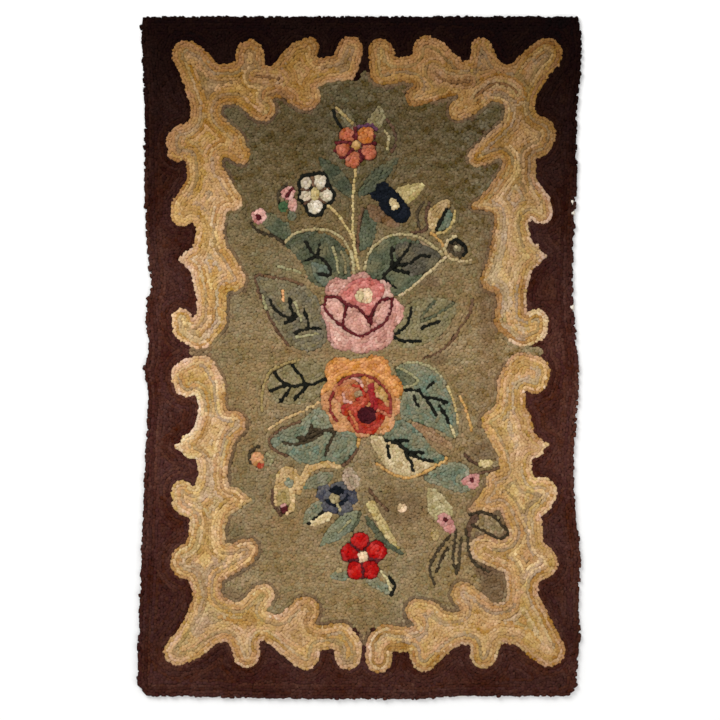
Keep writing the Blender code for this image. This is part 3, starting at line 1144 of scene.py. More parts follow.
def shift_light(mine, amount):
    """Makes loops lighter or darker by a share, for which some of the dye turns to grey."""
    grey = dye[mine].mean(axis=1, keepdims=True)
    dye[mine] += amount[mine, None] * (0.4 * dye[mine] + 0.6 * grey)


for number, choices in enumerate(SCROLL_ROWS):
    here = of_scroll & (row_number == number)
    usual = np.mean([linear(WOOLS[wool]).mean(axis=0) for wool in choices], axis=0)
    dye[here] += CALM * (usual - dye[here])
shift_light(loop_owner >= 0, rng.normal(0, LIGHT_SPREAD, len(loops)))

# %% [markdown]
# Light and wear then shift the dyes. The upper end is darker and browner, the surround most of
# all. Each curve below says how much of its dye's lightness a wool keeps, from end to end of the
# rug. The corner at the upper right is dimmer still.

# %% Fading from end to end
LIGHTNESS = {
    # (threads down, share of lightness) for each family
    "surround": (
        (20, 0.115), (70, 0.17), (140, 0.34), (220, 0.7), (320, 1.12),
        (480, 1.14), (580, 0.93), (635, 0.77), (660, 0.93), (690, 0.9),
    ),
    "ground": (
        (80, 0.38), (125, 0.35), (160, 0.44), (210, 0.55), (265, 0.85),
        (300, 0.86), (340, 1.06), (500, 0.97), (590, 1.12), (625, 1.0),
    ),
    "scroll": ((40, 0.43), (100, 0.54), (160, 0.66), (230, 0.9), (330, 0.95), (520, 0.95), (670, 0.84)),
    "leaf": ((100, 0.56), (185, 0.6), (240, 0.92), (340, 1.02)),
    "blossom": ((100, 0.9), (300, 1.0)),
}
# How much of its red, green and blue a dye loses as well, where it keeps no lightness
BROWNER = {"scroll": (0.0, 0.32, 0.78), "ground": (0.0, -0.06, 0.12)}
EVEN = (0.0, 0.0, 0.0)
DIM_CORNER = 0.18
DIM_ACROSS, DIM_DOWN = (430, 520), (350, 270)


def share_between(value, start, end):
    """0 before the start, 1 past the end, and evenly rising between them."""
    return np.clip((value - start) / (end - start), 0, 1)


family_of = np.array([patch["family"] for patch in patches])[loop_owner]
of_surround = loop_owner == SURROUND
of_ground = loop_owner == GROUND
for family, curve in LIGHTNESS.items():
    mine = family_of == family
    at = [knot[0] for knot in curve]
    kept_light = np.interp(y[mine], at, [knot[1] for knot in curve])[:, None]
    less = np.array(BROWNER.get(family, EVEN))
    dye[mine] *= kept_light * (1 - less * np.clip(1 - kept_light, 0, 1))
dim_corner = share_between(x, *DIM_ACROSS) * share_between(y, *DIM_DOWN)
dye[of_surround | of_scroll] *= (1 - DIM_CORNER * dim_corner)[of_surround | of_scroll, None]

# %% [markdown]
# Mottling comes next, in waves of several sizes. The ground is patchier at the upper end and at
# the right. Whole strips of the surround and the scroll are lighter or darker than their
# neighbours, which makes the streaks.

# %% Mottling and streaks
GROUND_MOTTLE = ((0.10, 60, 1), (0.07, 22, 2), (0.08, 9, 7))
GROUND_PATCHES = ((0.22, 13, 12), (0.26, 6, 16))
SURROUND_MOTTLE = ((0.2, 40, 4), (0.1, 8, 13))
SCROLL_MOTTLE = ((0.10, 26, 5), (0.07, 9, 9))
WARMER = (0.04, 0.0, -0.05)
YELLOWER = (0.0, 0.015, -0.13)
SURROUND_STREAKS = 0.12
SCROLL_STREAKS = 0.17
PATCHY_ACROSS, PATCHY_DOWN = (440, 490), (270, 150)

patchy = share_between(y, *PATCHY_DOWN) + share_between(x, *PATCHY_ACROSS)
shift_light(of_ground, waves(*GROUND_MOTTLE) + patchy * waves(*GROUND_PATCHES))
warm = slow_wave(90, 3)
dye[of_ground] *= 1 + warm[of_ground, None] * np.array(WARMER)
odd_strip = np.sin(strip_pick[strip] * 1.7)
shift_light(of_surround, waves(*SURROUND_MOTTLE) + SURROUND_STREAKS * odd_strip)
shift_light(of_scroll, waves(*SCROLL_MOTTLE) + SCROLL_STREAKS * odd_strip)
yellow = np.clip(waves((1, 45, 8), (1, 16, 15)), -0.6, 1.2)[of_scroll, None]
dye[of_scroll] *= 1 + yellow * np.array(YELLOWER)

# %% [markdown]
# The scroll's row beside the surround is pale, and its colour deepens over the next rows, except
# at the upper end. Its row beside the ground is greyer.

# %% The rim of the scroll
RIM_DISTANCE = (2.0, 4.0, 6.0, 9.0, 14.0)
RIM_SHIFT = (
    # for red, green and blue
    (1.08, 1.05, 0.95, 0.92, 0.97),
    (1.19, 1.10, 0.94, 0.89, 0.96),
    (1.65, 1.35, 0.95, 0.86, 0.99),
)
RIM_FADE = (70.0, 230.0)
BESIDE_GROUND = (0.98, 1.05, 1.22)

to_surround = distance_from_other((owner == SURROUND).astype(np.int8), reach=28) * CELL - CELL / 2
from_surround = to_surround[here_cells]
rim_share = share_between(y[of_scroll], *RIM_FADE)
for channel, shares in enumerate(RIM_SHIFT):
    shift = np.interp(from_surround[of_scroll], RIM_DISTANCE, shares)
    dye[of_scroll, channel] *= 1 + rim_share * (shift - 1)
beside_ground = of_scroll & (inset < 1.3 * ROW) & (from_surround > 2 * ROW)
dye[beside_ground] *= BESIDE_GROUND

# %% [markdown]
# Leaves and petals are blotched. The loops round a petal's edge are painted a little darker,
# as shade where they meet its outline, and greens have turned olive here and there.

# %% Uneven leaves and petals
BLOTCH = 0.17
LEAF_GRAIN = (0.12, 5, 14)
PETAL_EDGE = 1.8
PETAL_EDGE_PAINTED_SHADE = 0.82
OLIVE_SHARE = 0.4
GREENS = ("teal", "grey teal", "dark teal", "blue teal", "sage teal", "grey olive", "plum grey")
of_leaf = family_of == "leaf"
of_blossom = family_of == "blossom"
in_line = np.array([patch["single_row"] for patch in patches])[loop_owner]
blotch = waves((BLOTCH, 11, 10))
shift_light(of_leaf, blotch + waves(LEAF_GRAIN))
shift_light(of_blossom & ~in_line, blotch)
# painted shade: the loops round each petal's edge are darkened
dye[of_blossom & ~in_line & (inset < PETAL_EDGE)] *= PETAL_EDGE_PAINTED_SHADE
olive_share = np.isin(wool_of, GREENS) * OLIVE_SHARE * np.clip(slow_wave(16, 11), 0, 1)
dye += olive_share[:, None] * (linear(WOOLS["light olive"])[0] - dye)

# %% [markdown]
# For most of its length, the ground's row beside the scroll is brown, where odd strips were used
# up. Brown and dark olive wool also fills hollows between motifs, as soft shadows.

# %% Odd strips and shadows
ODD_SHARE = 0.6
SHADOW_FLOOR = 1.6

beside_scroll = of_ground & (scroll[here_cells] < 1.25 * ROW)
odd = beside_scroll & (slow_wave(70, 6) > -0.3)
browns = linear(WOOLS["brown"])
dye[odd] = (1 - ODD_SHARE) * dye[odd] + ODD_SHARE * browns[strip_pick[strip[odd]] % len(browns)]

SHADOWS = (
    # (across, down, radius across, radius down, wool, strength)
    (236, 118, 9, 12, "olive dark", 0.6), (492, 110, 13, 13, "olive dark", 0.6),
    (230, 598, 12, 9, "brown", 0.55), (233, 535, 9, 9, "olive dark", 0.5),
    (494, 587, 13, 19, "brown", 0.75), (483, 571, 8, 6, "brown", 0.8), (429, 281, 9, 7, "brown", 0.8),
    (438, 359, 9, 6, "brown", 0.6), (485, 452, 14, 10, "brown", 0.6),
    (402, 508, 20, 17, "brown", 0.45), (487, 285, 9, 60, "brown", 0.45),
    (489, 380, 12, 70, "rust dark", 0.4), (420, 445, 30, 8, "rust dark", 0.4),
    (300, 352, 50, 5, "rust dark", 0.25), (222, 300, 10, 60, "olive dark", 0.25),
)
for cx, cy, rx, ry, wool, strength in SHADOWS:
    near = ((x - cx) / rx) ** 2 + ((y - cy) / ry) ** 2
    share = strength * np.clip(SHADOW_FLOOR - near, 0, 1) * of_ground * (0.75 + 0.25 * warm)
    dye = dye * (1 - share[:, None]) + linear(WOOLS[wool])[0] * share[:, None]
dye = np.clip(dye, 0.002, 1.0)
print("dyes from", dye.min(0).round(3), "to", dye.max(0).round(3))

# %% [markdown]
# A few loops on the right edge have lost their dye and show as pale flecks.

# %% Pale flecks
FLECKS = ((572, 306), (572, 203), (575, 214))
UNDYED = (226, 216, 200)

for fleck in FLECKS:
    nearest = np.argmin((x - fleck[0]) ** 2 + (y - fleck[1]) ** 2)
    dye[nearest] = linear(UNDYED)

# %% [markdown]
# ## Shader tools
#
# Shader maths is easier to read as an expression than as a web of nodes. This class wraps a
# socket, so that a plus or a times sign adds the Math node that it stands for. Any other node
# comes from one method, which takes the node's type, its settings and what goes into its sockets.


# %% Sockets with operators
class Value:
    """A socket in a material's node tree, which can be added, multiplied and so on."""

    def __init__(self, finish, socket):
        self.finish, self.socket = finish, socket

    def math(self, operation, a, b):
        return self.finish.node("ShaderNodeMath", {"operation": operation}, [a, b])

    def __add__(self, other):
        return self.math("ADD", self, other)

    def __radd__(self, other):
        return self.math("ADD", other, self)

    def __sub__(self, other):
        return self.math("SUBTRACT", self, other)

    def __rsub__(self, other):
        return self.math("SUBTRACT", other, self)

    def __mul__(self, other):
        return self.math("MULTIPLY", self, other)

    def __rmul__(self, other):
        return self.math("MULTIPLY", other, self)

    def __pow__(self, other):
        return self.math("POWER", self, other)


class Finish:
    """A material, and short ways to add nodes to it."""

    def __init__(self, name):
        self.material = bpy.data.materials.new(name)
        self.material.use_nodes = True
        self.tree = self.material.node_tree
        self.shader = self.tree.nodes["Principled BSDF"]

    def node(self, kind, settings=None, values=None, output=0):
        """Adds a node, sets it up, fills or links its inputs, and returns an output or several."""
        made = self.tree.nodes.new(kind)
        for name, setting in (settings or {}).items():
            setattr(made, name, setting)
        entries = values.items() if isinstance(values, dict) else enumerate(values or [])
        for key, value in entries:
            self.put(made.inputs[key], value)
        if isinstance(output, tuple):
            return [Value(self, made.outputs[key]) for key in output]
        return Value(self, made.outputs[output])

    def put(self, socket, value):
        if isinstance(value, Value):
            self.tree.links.new(value.socket, socket)
        else:
            socket.default_value = value

    def set(self, **inputs):
        """Fills or links the inputs of the Principled shader, by names with _ for a space."""
        for name, value in inputs.items():
            self.put(self.shader.inputs[name.replace("_", " ")], value)

    def noise(self, place, scale, detail=3.0, roughness=0.6):
        return self.node(
            "ShaderNodeTexNoise",
            values={"Vector": place, "Scale": scale, "Detail": detail, "Roughness": roughness},
        )

    def scaled(self, colour, factor):
        """A colour made lighter or darker by a factor."""
        return self.node(
            "ShaderNodeVectorMath", {"operation": "SCALE"}, {"Vector": colour, "Scale": factor}
        )

    def mixed(self, factor, a, b):
        return self.node(
            "ShaderNodeMix",
            {"data_type": "RGBA"},
            {"Factor": factor, 6: a, 7: b},
            output=2,
        )

    def ramp(self, value, low, high, to_low=0.0, to_high=1.0):
        return self.node("ShaderNodeMapRange", None, [value, low, high, to_low, to_high])


# %% [markdown]
# ## Wool
#
# Each loop carries its own dye as a colour attribute, and the material does the rest. Cut wool
# is felted and hairy, so fine noise breaks up the colour and roughens the surface. Shade is
# painted into the colour by height: each loop is darker at its foot and lighter on its top, as
# shade between neighbouring loops. The tops are also paler and dustier, where feet wear them.
# Sheen stands for the fluff that catches light from the side.


# %% The wool finish
FOOT_HEIGHT = 0.0032
TOP_HEIGHT = 0.0078
HEATHER_SCALE = 700.0
FIBRE_SCALE = 2200.0
WORN_COLOUR = (0.62, 0.56, 0.46, 1.0)
WORN_FROM, WORN_TO = 0.38, 0.72
FIBRE_DEPTH = 0.0005


def wool_finish(name, fleck, wear, sheen, gloss=0.18):
    """Dyed wool. fleck is how heathered it is, wear how pale its tops have become."""
    finish = Finish(name)
    place = finish.node("ShaderNodeTexCoord", output=3)
    dyed = finish.node("ShaderNodeAttribute", {"attribute_name": "dye"}, output=0)
    height = finish.node("ShaderNodeSeparateXYZ", values=[place], output=2)
    top = finish.ramp(height, FOOT_HEIGHT, TOP_HEIGHT)
    heather = finish.noise(place, HEATHER_SCALE, 2.0)
    fibre = finish.noise(place, FIBRE_SCALE, 4.0, 0.7)
    # painted shade: the dye is darker toward each loop's foot and lighter on its top
    shade = (0.84 + 0.2 * top) * (1.0 - fleck / 2 + fleck * heather) * (0.75 + 0.5 * fibre)
    colour = finish.scaled(dyed, shade)
    worn = finish.ramp(top * heather, WORN_FROM, WORN_TO) * wear
    finish.set(
        Base_Color=finish.mixed(worn, colour, WORN_COLOUR),
        Roughness=finish.ramp(fibre, 0.2, 0.8, 0.82, 1.0),
        Metallic=0.0,
        Specular_IOR_Level=gloss,
        Sheen_Weight=sheen,
        Sheen_Roughness=0.55,
        Normal=finish.node(
            "ShaderNodeBump",
            values={"Strength": 0.55, "Distance": FIBRE_DEPTH, "Height": fibre * 0.7 + heather * 0.5},
        ),
    )
    return finish.material


WOOL_FINISHES = {
    "surround": wool_finish("dark wool", fleck=0.6, wear=0.0, sheen=0.0, gloss=0.02),
    "scroll": wool_finish("tweed wool", fleck=0.55, wear=0.06, sheen=0.06),
    "ground": wool_finish("heather wool", fleck=0.6, wear=0.04, sheen=0.03, gloss=0.1),
    "leaf": wool_finish("leaf wool", fleck=0.5, wear=0.03, sheen=0.03, gloss=0.08),
    "blossom": wool_finish("bright wool", fleck=0.4, wear=0.01, sheen=0.02, gloss=0.08),
}
print(len(WOOL_FINISHES), "wool finishes")

# %% [markdown]
# ## The pile
#
# Almost forty thousand loops are one small shape repeated, which is a task for Geometry Nodes.
# The shape is a low dome of twelve faces, longer along its row than across it. Its rim goes
# below the tops of its neighbours, so that no cloth shows between them. The outermost loops droop
# over the edge of the cloth, almost to the floor.

# %% One loop
LOOP_LENGTH = 0.0080
LOOP_WIDTH = 0.0067
LOOP_HEIGHT = 0.0060
LOOP_FOOT = 0.0018
DROOP = 1.22
FLOOR_GAP = 0.0003
CORNER_TUCK = 0.84
FALL_ALONG, FALL_ACROSS = 0.26, 0.16

u_steps = (-1.0, -0.64, 0.0, 0.64, 1.0)
v_steps = (-1.0, -0.55, 0.55, 1.0)
dome = []
for v in v_steps:
    for u in u_steps:
        at_ends, at_sides = abs(u) == 1.0, abs(v) == 1.0
        tuck = CORNER_TUCK if at_ends and at_sides else 1.0
        z = (1.0 - FALL_ALONG * abs(u) ** 2) * (1.0 - FALL_ACROSS * abs(v))
        dome.append((0.5 * u * tuck, 0.5 * v * tuck, 0.0 if at_ends or at_sides else z))
width = len(u_steps)
faces = [
    (j * width + i, j * width + i + 1, (j + 1) * width + i + 1, (j + 1) * width + i)
    for j in range(len(v_steps) - 1)
    for i in range(width - 1)
]
loop_mesh = bpy.data.meshes.new("one_loop")
loop_mesh.from_pydata(dome, [], faces)
loop_mesh.shade_smooth()
one_loop = bpy.data.objects.new("one_loop", loop_mesh)
bpy.context.scene.collection.objects.link(one_loop)
print("a loop has", len(faces), "faces")

# %% [markdown]
# The node tree takes points that know the direction of their row, stands a loop on each, and
# turns, tilts and stretches it a little at random. Nothing hooked by hand is even.


# %% The pile tree
def pile_tree():
    tree = bpy.data.node_groups.new("hooked_pile", "GeometryNodeTree")
    sockets = tree.interface
    sockets.new_socket("Geometry", in_out="OUTPUT", socket_type="NodeSocketGeometry")
    sockets.new_socket("Geometry", in_out="INPUT", socket_type="NodeSocketGeometry")
    for name, kind in (
        ("Loop", "NodeSocketObject"),
        ("Loop size", "NodeSocketVector"),
        ("Tilt", "NodeSocketFloat"),
        ("Unevenness", "NodeSocketFloat"),
        ("Seed", "NodeSocketInt"),
        ("Wool", "NodeSocketMaterial"),
    ):
        sockets.new_socket(name, in_out="INPUT", socket_type=kind)

    def add(kind, settings=None, links=None):
        made = tree.nodes.new(kind)
        for name, setting in (settings or {}).items():
            setattr(made, name, setting)
        for key, source in (links or {}).items():
            if isinstance(source, bpy.types.NodeSocket):
                tree.links.new(source, made.inputs[key])
            else:
                made.inputs[key].default_value = source
        return made

    entry = add("NodeGroupInput").outputs
    scaled = {"operation": "SCALE"}
    minus = add("ShaderNodeVectorMath", scaled, {0: (-1, -1, -0.6), "Scale": entry["Tilt"]})
    plus = add("ShaderNodeVectorMath", scaled, {0: (1, 1, 0.6), "Scale": entry["Tilt"]})
    turn = add(
        "FunctionNodeRandomValue",
        {"data_type": "FLOAT_VECTOR"},
        {0: minus.outputs[0], 1: plus.outputs[0], "Seed": entry["Seed"]},
    )
    direction = add("GeometryNodeInputNamedAttribute", {"data_type": "FLOAT_VECTOR"}, {0: "row"})
    facing = add(
        "FunctionNodeAlignRotationToVector",
        {"axis": "X", "pivot_axis": "Z"},
        {"Vector": direction.outputs[0]},
    )
    wobble = add("FunctionNodeEulerToRotation", None, {0: turn.outputs[0]})
    turned = add(
        "FunctionNodeRotateRotation",
        {"rotation_space": "LOCAL"},
        {0: facing.outputs[0], 1: wobble.outputs[0]},
    )
    spread = {"operation": "MULTIPLY_ADD"}
    smallest = add(
        "ShaderNodeVectorMath", spread, {0: (-1, -1, -0.8), 1: entry["Unevenness"], 2: (1, 1, 1)}
    )
    largest = add(
        "ShaderNodeVectorMath", spread, {0: (1, 1, 0.3), 1: entry["Unevenness"], 2: (1, 1, 1)}
    )
    stretch = add(
        "FunctionNodeRandomValue",
        {"data_type": "FLOAT_VECTOR"},
        {0: smallest.outputs[0], 1: largest.outputs[0], "Seed": entry["Seed"]},
    )
    size = add(
        "ShaderNodeVectorMath", {"operation": "MULTIPLY"},
        {0: entry["Loop size"], 1: stretch.outputs[0]},
    )
    fullness = add("GeometryNodeInputNamedAttribute", {"data_type": "FLOAT_VECTOR"}, {0: "fullness"})
    full = add(
        "ShaderNodeVectorMath", {"operation": "MULTIPLY"}, {0: size.outputs[0], 1: fullness.outputs[0]}
    )
    loop = add("GeometryNodeObjectInfo", {"transform_space": "ORIGINAL"}, {0: entry["Loop"]})
    placed = add(
        "GeometryNodeInstanceOnPoints",
        None,
        {
            "Points": entry["Geometry"],
            "Instance": loop.outputs["Geometry"],
            "Rotation": turned.outputs[0],
            "Scale": full.outputs[0],
        },
    )
    real = add("GeometryNodeRealizeInstances", None, {0: placed.outputs[0]})
    clothed = add(
        "GeometryNodeSetMaterial", None, {"Geometry": real.outputs[0], "Material": entry["Wool"]}
    )
    leave = add("NodeGroupOutput")
    tree.links.new(clothed.outputs[0], leave.inputs[0])
    return tree


hooked_pile = pile_tree()
print("the tree has", len(hooked_pile.nodes), "nodes")

# %% [markdown]
# Each family of wool becomes a piece of the pile. The larger ones are parted down the middle of
# the rug, so that no piece has more triangles than a part of this kind should. The result of the
# tree is copied to a plain mesh, which gets a flat map seen from above for later baking.


# %% Hooking one piece of the pile
TILT = 0.3
UNEVENNESS = 0.18


def hook_piece(name, mine, finish, seed):
    """A mesh of real loops from rows of the table of loops."""
    rows = loops[mine]
    place = np.column_stack(
        [
            (rows[:, 0] - SHEET_MIDDLE[0]) * THREAD,
            (SHEET_MIDDLE[1] - rows[:, 1]) * THREAD,
            foot_height[mine],
        ]
    )
    points = bpy.data.meshes.new(name + "_points")
    points.vertices.add(len(rows))
    points.vertices.foreach_set("co", place.astype(np.float32).ravel())
    row = points.attributes.new("row", "FLOAT_VECTOR", "POINT")
    toward = np.column_stack([rows[:, 2], -rows[:, 3], np.zeros(len(rows))])
    row.data.foreach_set("vector", toward.astype(np.float32).ravel())
    full = points.attributes.new("fullness", "FLOAT_VECTOR", "POINT")
    full.data.foreach_set("vector", fullness[mine].astype(np.float32).ravel())
    colour = points.attributes.new("dye", "FLOAT_COLOR", "POINT")
    rgba = np.column_stack([dye[mine], np.ones(len(rows))])
    colour.data.foreach_set("color", rgba.astype(np.float32).ravel())
    piece = bpy.data.objects.new(name, points)
    bpy.context.scene.collection.objects.link(piece)
    return grown(piece, finish, seed)


def grown(piece, finish, seed):
    """Runs the tree on the points and keeps only the mesh that it makes, pressed flat below."""
    modifier = piece.modifiers.new("pile", "NODES")
    modifier.node_group = hooked_pile
    inputs = {
        "Loop": one_loop,
        "Loop size": (LOOP_LENGTH, LOOP_WIDTH, LOOP_HEIGHT),
        "Tilt": TILT,
        "Unevenness": UNEVENNESS,
        "Seed": seed,
        "Wool": finish,
    }
    for item in hooked_pile.interface.items_tree:
        if item.in_out == "INPUT" and item.name in inputs:
            modifier[item.identifier] = inputs[item.name]
    graph = bpy.context.evaluated_depsgraph_get()
    ready = piece.evaluated_get(graph)
    mesh = bpy.data.meshes.new_from_object(ready, preserve_all_data_layers=True, depsgraph=graph)
    piece.modifiers.remove(modifier)
    points = piece.data
    piece.data = mesh
    bpy.data.meshes.remove(points)
    mesh.name = piece.name
    co = np.zeros(len(mesh.vertices) * 3, np.float32)
    mesh.vertices.foreach_get("co", co)
    co[2::3] = np.maximum(co[2::3], FLOOR_GAP)
    mesh.vertices.foreach_set("co", co)
    flat_map(mesh, co.reshape(-1, 3)[:, :2])
    return piece


def flat_map(mesh, plan):
    """A UV map that looks straight down on the piece and fills the square."""
    low, high = plan.min(0), plan.max(0)
    corner = np.zeros(len(mesh.loops), np.int32)
    mesh.loops.foreach_get("vertex_index", corner)
    uv = mesh.uv_layers.new(name="OFBake")
    uv.data.foreach_set("uv", ((plan - low) / (high - low))[corner].ravel())


# %% [markdown]
# Single rows are hooked with thinner strips, except the bold black ones, and blossoms with fuller
# ones.

# %% All pieces of the pile
PARTED = ("surround", "scroll", "ground")
THIN, BOLD, FULL = 0.9, 1.02, 1.06

spread = np.where(in_line, THIN, np.where(of_blossom, FULL, 1.0))
spread[wool_of == "black"] = BOLD
fullness = np.column_stack([spread, spread, np.where(outermost, DROOP, 1.0)])
foot_height = np.where(outermost, LOOP_FOOT + LOOP_HEIGHT * (1 - DROOP), LOOP_FOOT)
pile = []
for seed, family in enumerate(WOOL_FINISHES):
    mine = family_of == family
    at_left = x < SHEET_MIDDLE[0]
    halves = (("_left", mine & at_left), ("_right", mine & ~at_left))
    for ending, chosen in halves if family in PARTED else (("", mine),):
        piece = hook_piece(f"{family}{ending}_pile", chosen, WOOL_FINISHES[family], seed)
        pile.append(piece)
        print(piece.name, chosen.sum(), "loops", 2 * len(piece.data.polygons), "triangles")
bpy.data.objects.remove(one_loop)

# %% [markdown]
# ## The foundation
#
# Under the pile lies plain-woven burlap. Its edge is turned to the back, so the back has a band
# of double cloth all round. The back also shows the design, because each loop's strip runs on
# underneath as a flat stitch. The loops grip the cloth, and the rug lies flat on the floor.

# %% Foundation mesh
CLOTH_INSET = 0.0022
CLOTH_THICKNESS = 0.0021
HEM_WIDTH = 0.024
HEM_STEP = 0.0006
HEM_SLOPE = 0.003
CLOTH_ROWS, CLOTH_COLUMNS = 172, 112


def span_at(y):
    """How far left and right the CAD outline reaches at a height on the rug."""
    ends = []
    for (ax, ay), (bx, by) in zip(foot, np.roll(foot, -1, axis=0)):
        if (ay <= y) != (by <= y):
            ends.append(ax + (bx - ax) * (y - ay) / (by - ay))
    return min(ends) + CLOTH_INSET, max(ends) - CLOTH_INSET


far_end = foot[:, 1].max() - CLOTH_INSET
near_end = foot[:, 1].min() + CLOTH_INSET
cloth_y = np.linspace(far_end, near_end, CLOTH_ROWS)
shares = np.linspace(0, 1, CLOTH_COLUMNS)
spans = [(*span_at(y), y) for y in cloth_y]
cloth_plan = np.array([[(a + (b - a) * share, y) for share in shares] for a, b, y in spans])
grid = np.arange(CLOTH_ROWS * CLOTH_COLUMNS).reshape(CLOTH_ROWS, CLOTH_COLUMNS)
plan = cloth_plan.reshape(-1, 2)
from_edge = np.minimum.reduce(
    [
        np.abs(cloth_plan[:, :, 0] - cloth_plan[:, :1, 0]),
        np.abs(cloth_plan[:, :, 0] - cloth_plan[:, -1:, 0]),
        np.abs(cloth_plan[:, :, 1] - far_end),
        np.abs(cloth_plan[:, :, 1] - near_end),
    ]
).ravel()
step = np.clip((from_edge - HEM_WIDTH) / HEM_SLOPE, 0, 1)
count = len(plan)
under = np.column_stack([plan, HEM_STEP * step])
over = np.column_stack([plan, np.full(count, CLOTH_THICKNESS)])
print(count, "points of cloth,", round((step < 1).mean() * 100), "% of them over the hem")

# %% Foundation faces
a, b, c, d = grid[:-1, :-1], grid[:-1, 1:], grid[1:, 1:], grid[1:, :-1]
top_faces = np.stack([a, d, c, b], axis=-1).reshape(-1, 4)
under_faces = top_faces[:, ::-1] + count
rim = np.concatenate([grid[0, :-1], grid[:-1, -1], grid[-1, :0:-1], grid[:0:-1, 0]])
after = np.roll(rim, -1)
rim_faces = np.stack([rim, after, after + count, rim + count], axis=-1)
cloth_mesh = bpy.data.meshes.new("foundation_cloth")
cloth_faces = np.vstack([top_faces, under_faces, rim_faces])
cloth_mesh.from_pydata(np.vstack([over, under]).tolist(), [], cloth_faces.tolist())
cloth_mesh.shade_smooth()
foundation = bpy.data.objects.new("foundation_cloth", cloth_mesh)
bpy.context.scene.collection.objects.link(foundation)
print("cloth of", len(cloth_faces), "faces")

# %% [markdown]
# The stitches on the back take their colours from the drawing. Each point of the cloth looks up
# the patch above it, and a colour attribute carries the middle colour of that patch's wool.

# %% Stitch colours on the back
STITCHES_FROM = 0.001
STITCHES_FADE = 0.002

middle_colour = {wool: linear(colours).mean(0) for wool, colours in WOOLS.items()}
wool_colour = np.array(
    [middle_colour["buff" if p["wool"] == "scroll" else p["wool"]] for p in patches]
    + [middle_colour["surround"]]
)
sheet_x = SHEET_MIDDLE[0] + plan[:, 0] / THREAD
sheet_y = SHEET_MIDDLE[1] - plan[:, 1] / THREAD
under_owner = owner[cells_at(sheet_x, sheet_y)]
stitched = np.clip((from_edge - HEM_WIDTH - STITCHES_FROM) / STITCHES_FADE, 0, 1)
stitch = np.column_stack([wool_colour[under_owner], stitched])
colour = cloth_mesh.attributes.new("dye", "FLOAT_COLOR", "POINT")
colour.data.foreach_set("color", np.vstack([stitch, stitch]).astype(np.float32).ravel())
print("stitches show on", round(stitched.mean() * 100), "% of the back")

# %% [markdown]
# Burlap is a coarse over-and-under weave of jute. Two waves, one for each way of the threads,
# take turns to lie on top. On the back the flat wool stitches cover most of it.

# %% The burlap finish
JUTE_DARK, JUTE_LIGHT = (0.33, 0.22, 0.12, 1), (0.52, 0.38, 0.23, 1)
WEAVE_DEPTH = 0.0006
WANDER = 0.004
BACK_FROM, BACK_TO = 0.0012, 0.0009

burlap = Finish("burlap and back stitches")
place = burlap.node("ShaderNodeTexCoord", output=3)
px, py, pz = burlap.node("ShaderNodeSeparateXYZ", values=[place], output=(0, 1, 2))


def ripple(value, period, shift=0.0):
    """A wave from 0 to 1 along a coordinate."""
    wave = burlap.node("ShaderNodeMath", {"operation": "SINE"}, [value * (2 * math.pi / period) + shift])
    return wave * 0.5 + 0.5


warp = ripple(px, THREAD)
weft = ripple(py, THREAD)
turns = ripple(px + py, 2 * THREAD) * ripple(px - py, 2 * THREAD)
weave = warp * (1.0 - turns) + weft * turns
jute = burlap.mixed(burlap.noise(place, 500.0), JUTE_DARK, JUTE_LIGHT)
# painted shade: the jute is darker where its threads dip under each other
jute = burlap.scaled(jute, 0.6 + 0.5 * weave)
wander = burlap.noise(place, 60.0) * WANDER
rows_of = ripple(py + wander, ROW * THREAD)
loops_of = ripple(px + wander, LOOP_PITCH * THREAD)
dyed, stitched_here = burlap.node(
    "ShaderNodeAttribute", {"attribute_name": "dye"}, output=("Color", "Alpha")
)
below = burlap.ramp(pz, BACK_FROM, BACK_TO)
stitches = burlap.ramp(rows_of * 0.7 + loops_of * 0.5, 0.3, 0.5) * below
stitches = stitches * stitched_here
# painted shade: the stitches are darker in the grooves between their rows
wool = burlap.scaled(dyed, 0.6 + 0.5 * rows_of)
burlap.set(
    Base_Color=burlap.mixed(stitches, jute, wool),
    Roughness=burlap.ramp(weave, 0.0, 1.0, 0.98, 0.85),
    Metallic=0.0,
    Specular_IOR_Level=0.15,
    Normal=burlap.node(
        "ShaderNodeBump",
        values={"Strength": 0.7, "Distance": WEAVE_DEPTH, "Height": weave * 0.5 + stitches * rows_of},
    ),
)
cloth_mesh.materials.append(burlap.material)

# %% [markdown]
# The floor is plain and pale. One large soft light stands off the upper left corner, so that
# each loop has a lit side and a shaded one, and a weaker one fills from the other side.

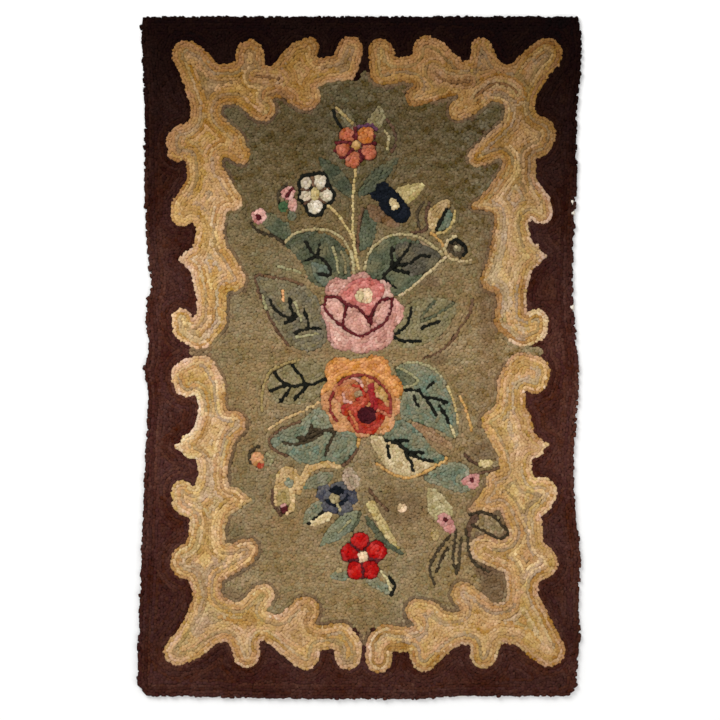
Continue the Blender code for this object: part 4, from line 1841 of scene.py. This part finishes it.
# %% Floor
FLOOR_HALF = 7.0
FLOOR_DARK, FLOOR_LIGHT = (0.93, 0.928, 0.922, 1), (0.95, 0.948, 0.942, 1)

floor_corners = [(u * FLOOR_HALF, v * FLOOR_HALF, 0) for u, v in ((-1, -1), (1, -1), (1, 1), (-1, 1))]
floor_mesh = bpy.data.meshes.new("floor")
floor_mesh.from_pydata(floor_corners, [], [(0, 1, 2, 3)])
floor = bpy.data.objects.new("floor", floor_mesh)
bpy.context.scene.collection.objects.link(floor)
pale = Finish("pale floor")
patches_of_tone = pale.noise(pale.node("ShaderNodeTexCoord", output=3), 6.0)
pale.set(Base_Color=pale.mixed(patches_of_tone, FLOOR_DARK, FLOOR_LIGHT), Roughness=0.9)
floor_mesh.materials.append(pale.material)


# %% Lights
def soft_light(name, place, size, watts):
    """An area lamp that is aimed at the rug's middle."""
    lamp = bpy.data.lights.new(name, "AREA")
    lamp.size = size
    lamp.energy = watts
    made = bpy.data.objects.new(name, lamp)
    made.location = place
    bpy.context.scene.collection.objects.link(made)
    aim = -np.array(place)
    made.rotation_euler = (
        math.atan2(math.hypot(aim[0], aim[1]), -aim[2]),
        0.0,
        math.atan2(aim[1], aim[0]) - math.pi / 2,
    )


soft_light("key", place=(-1.5, 1.9, 2.2), size=1.6, watts=70)
soft_light("fill", place=(2.0, -1.2, 2.4), size=2.4, watts=28)
SKY_COLOUR = (1.0, 1.0, 1.0, 1.0)
SKY_STRENGTH = 0.6
world = bpy.data.worlds.new("studio")
world.use_nodes = True
sky = world.node_tree.nodes["Background"].inputs
sky["Color"].default_value = SKY_COLOUR
sky["Strength"].default_value = SKY_STRENGTH
bpy.context.scene.world = world
bpy.context.scene.view_settings.view_transform = "Standard"

# %% [markdown]
# Last, each piece is told what it rides on. The cloth replaces the CAD solid,
# and the pile goes with it.

for piece in [foundation, *pile]:
    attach(piece, "root")
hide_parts("hooked_rug")
triangles = sum(
    sum(len(polygon.vertices) - 2 for polygon in piece.data.polygons) for piece in [foundation, *pile]
)
print("triangles in all", triangles)
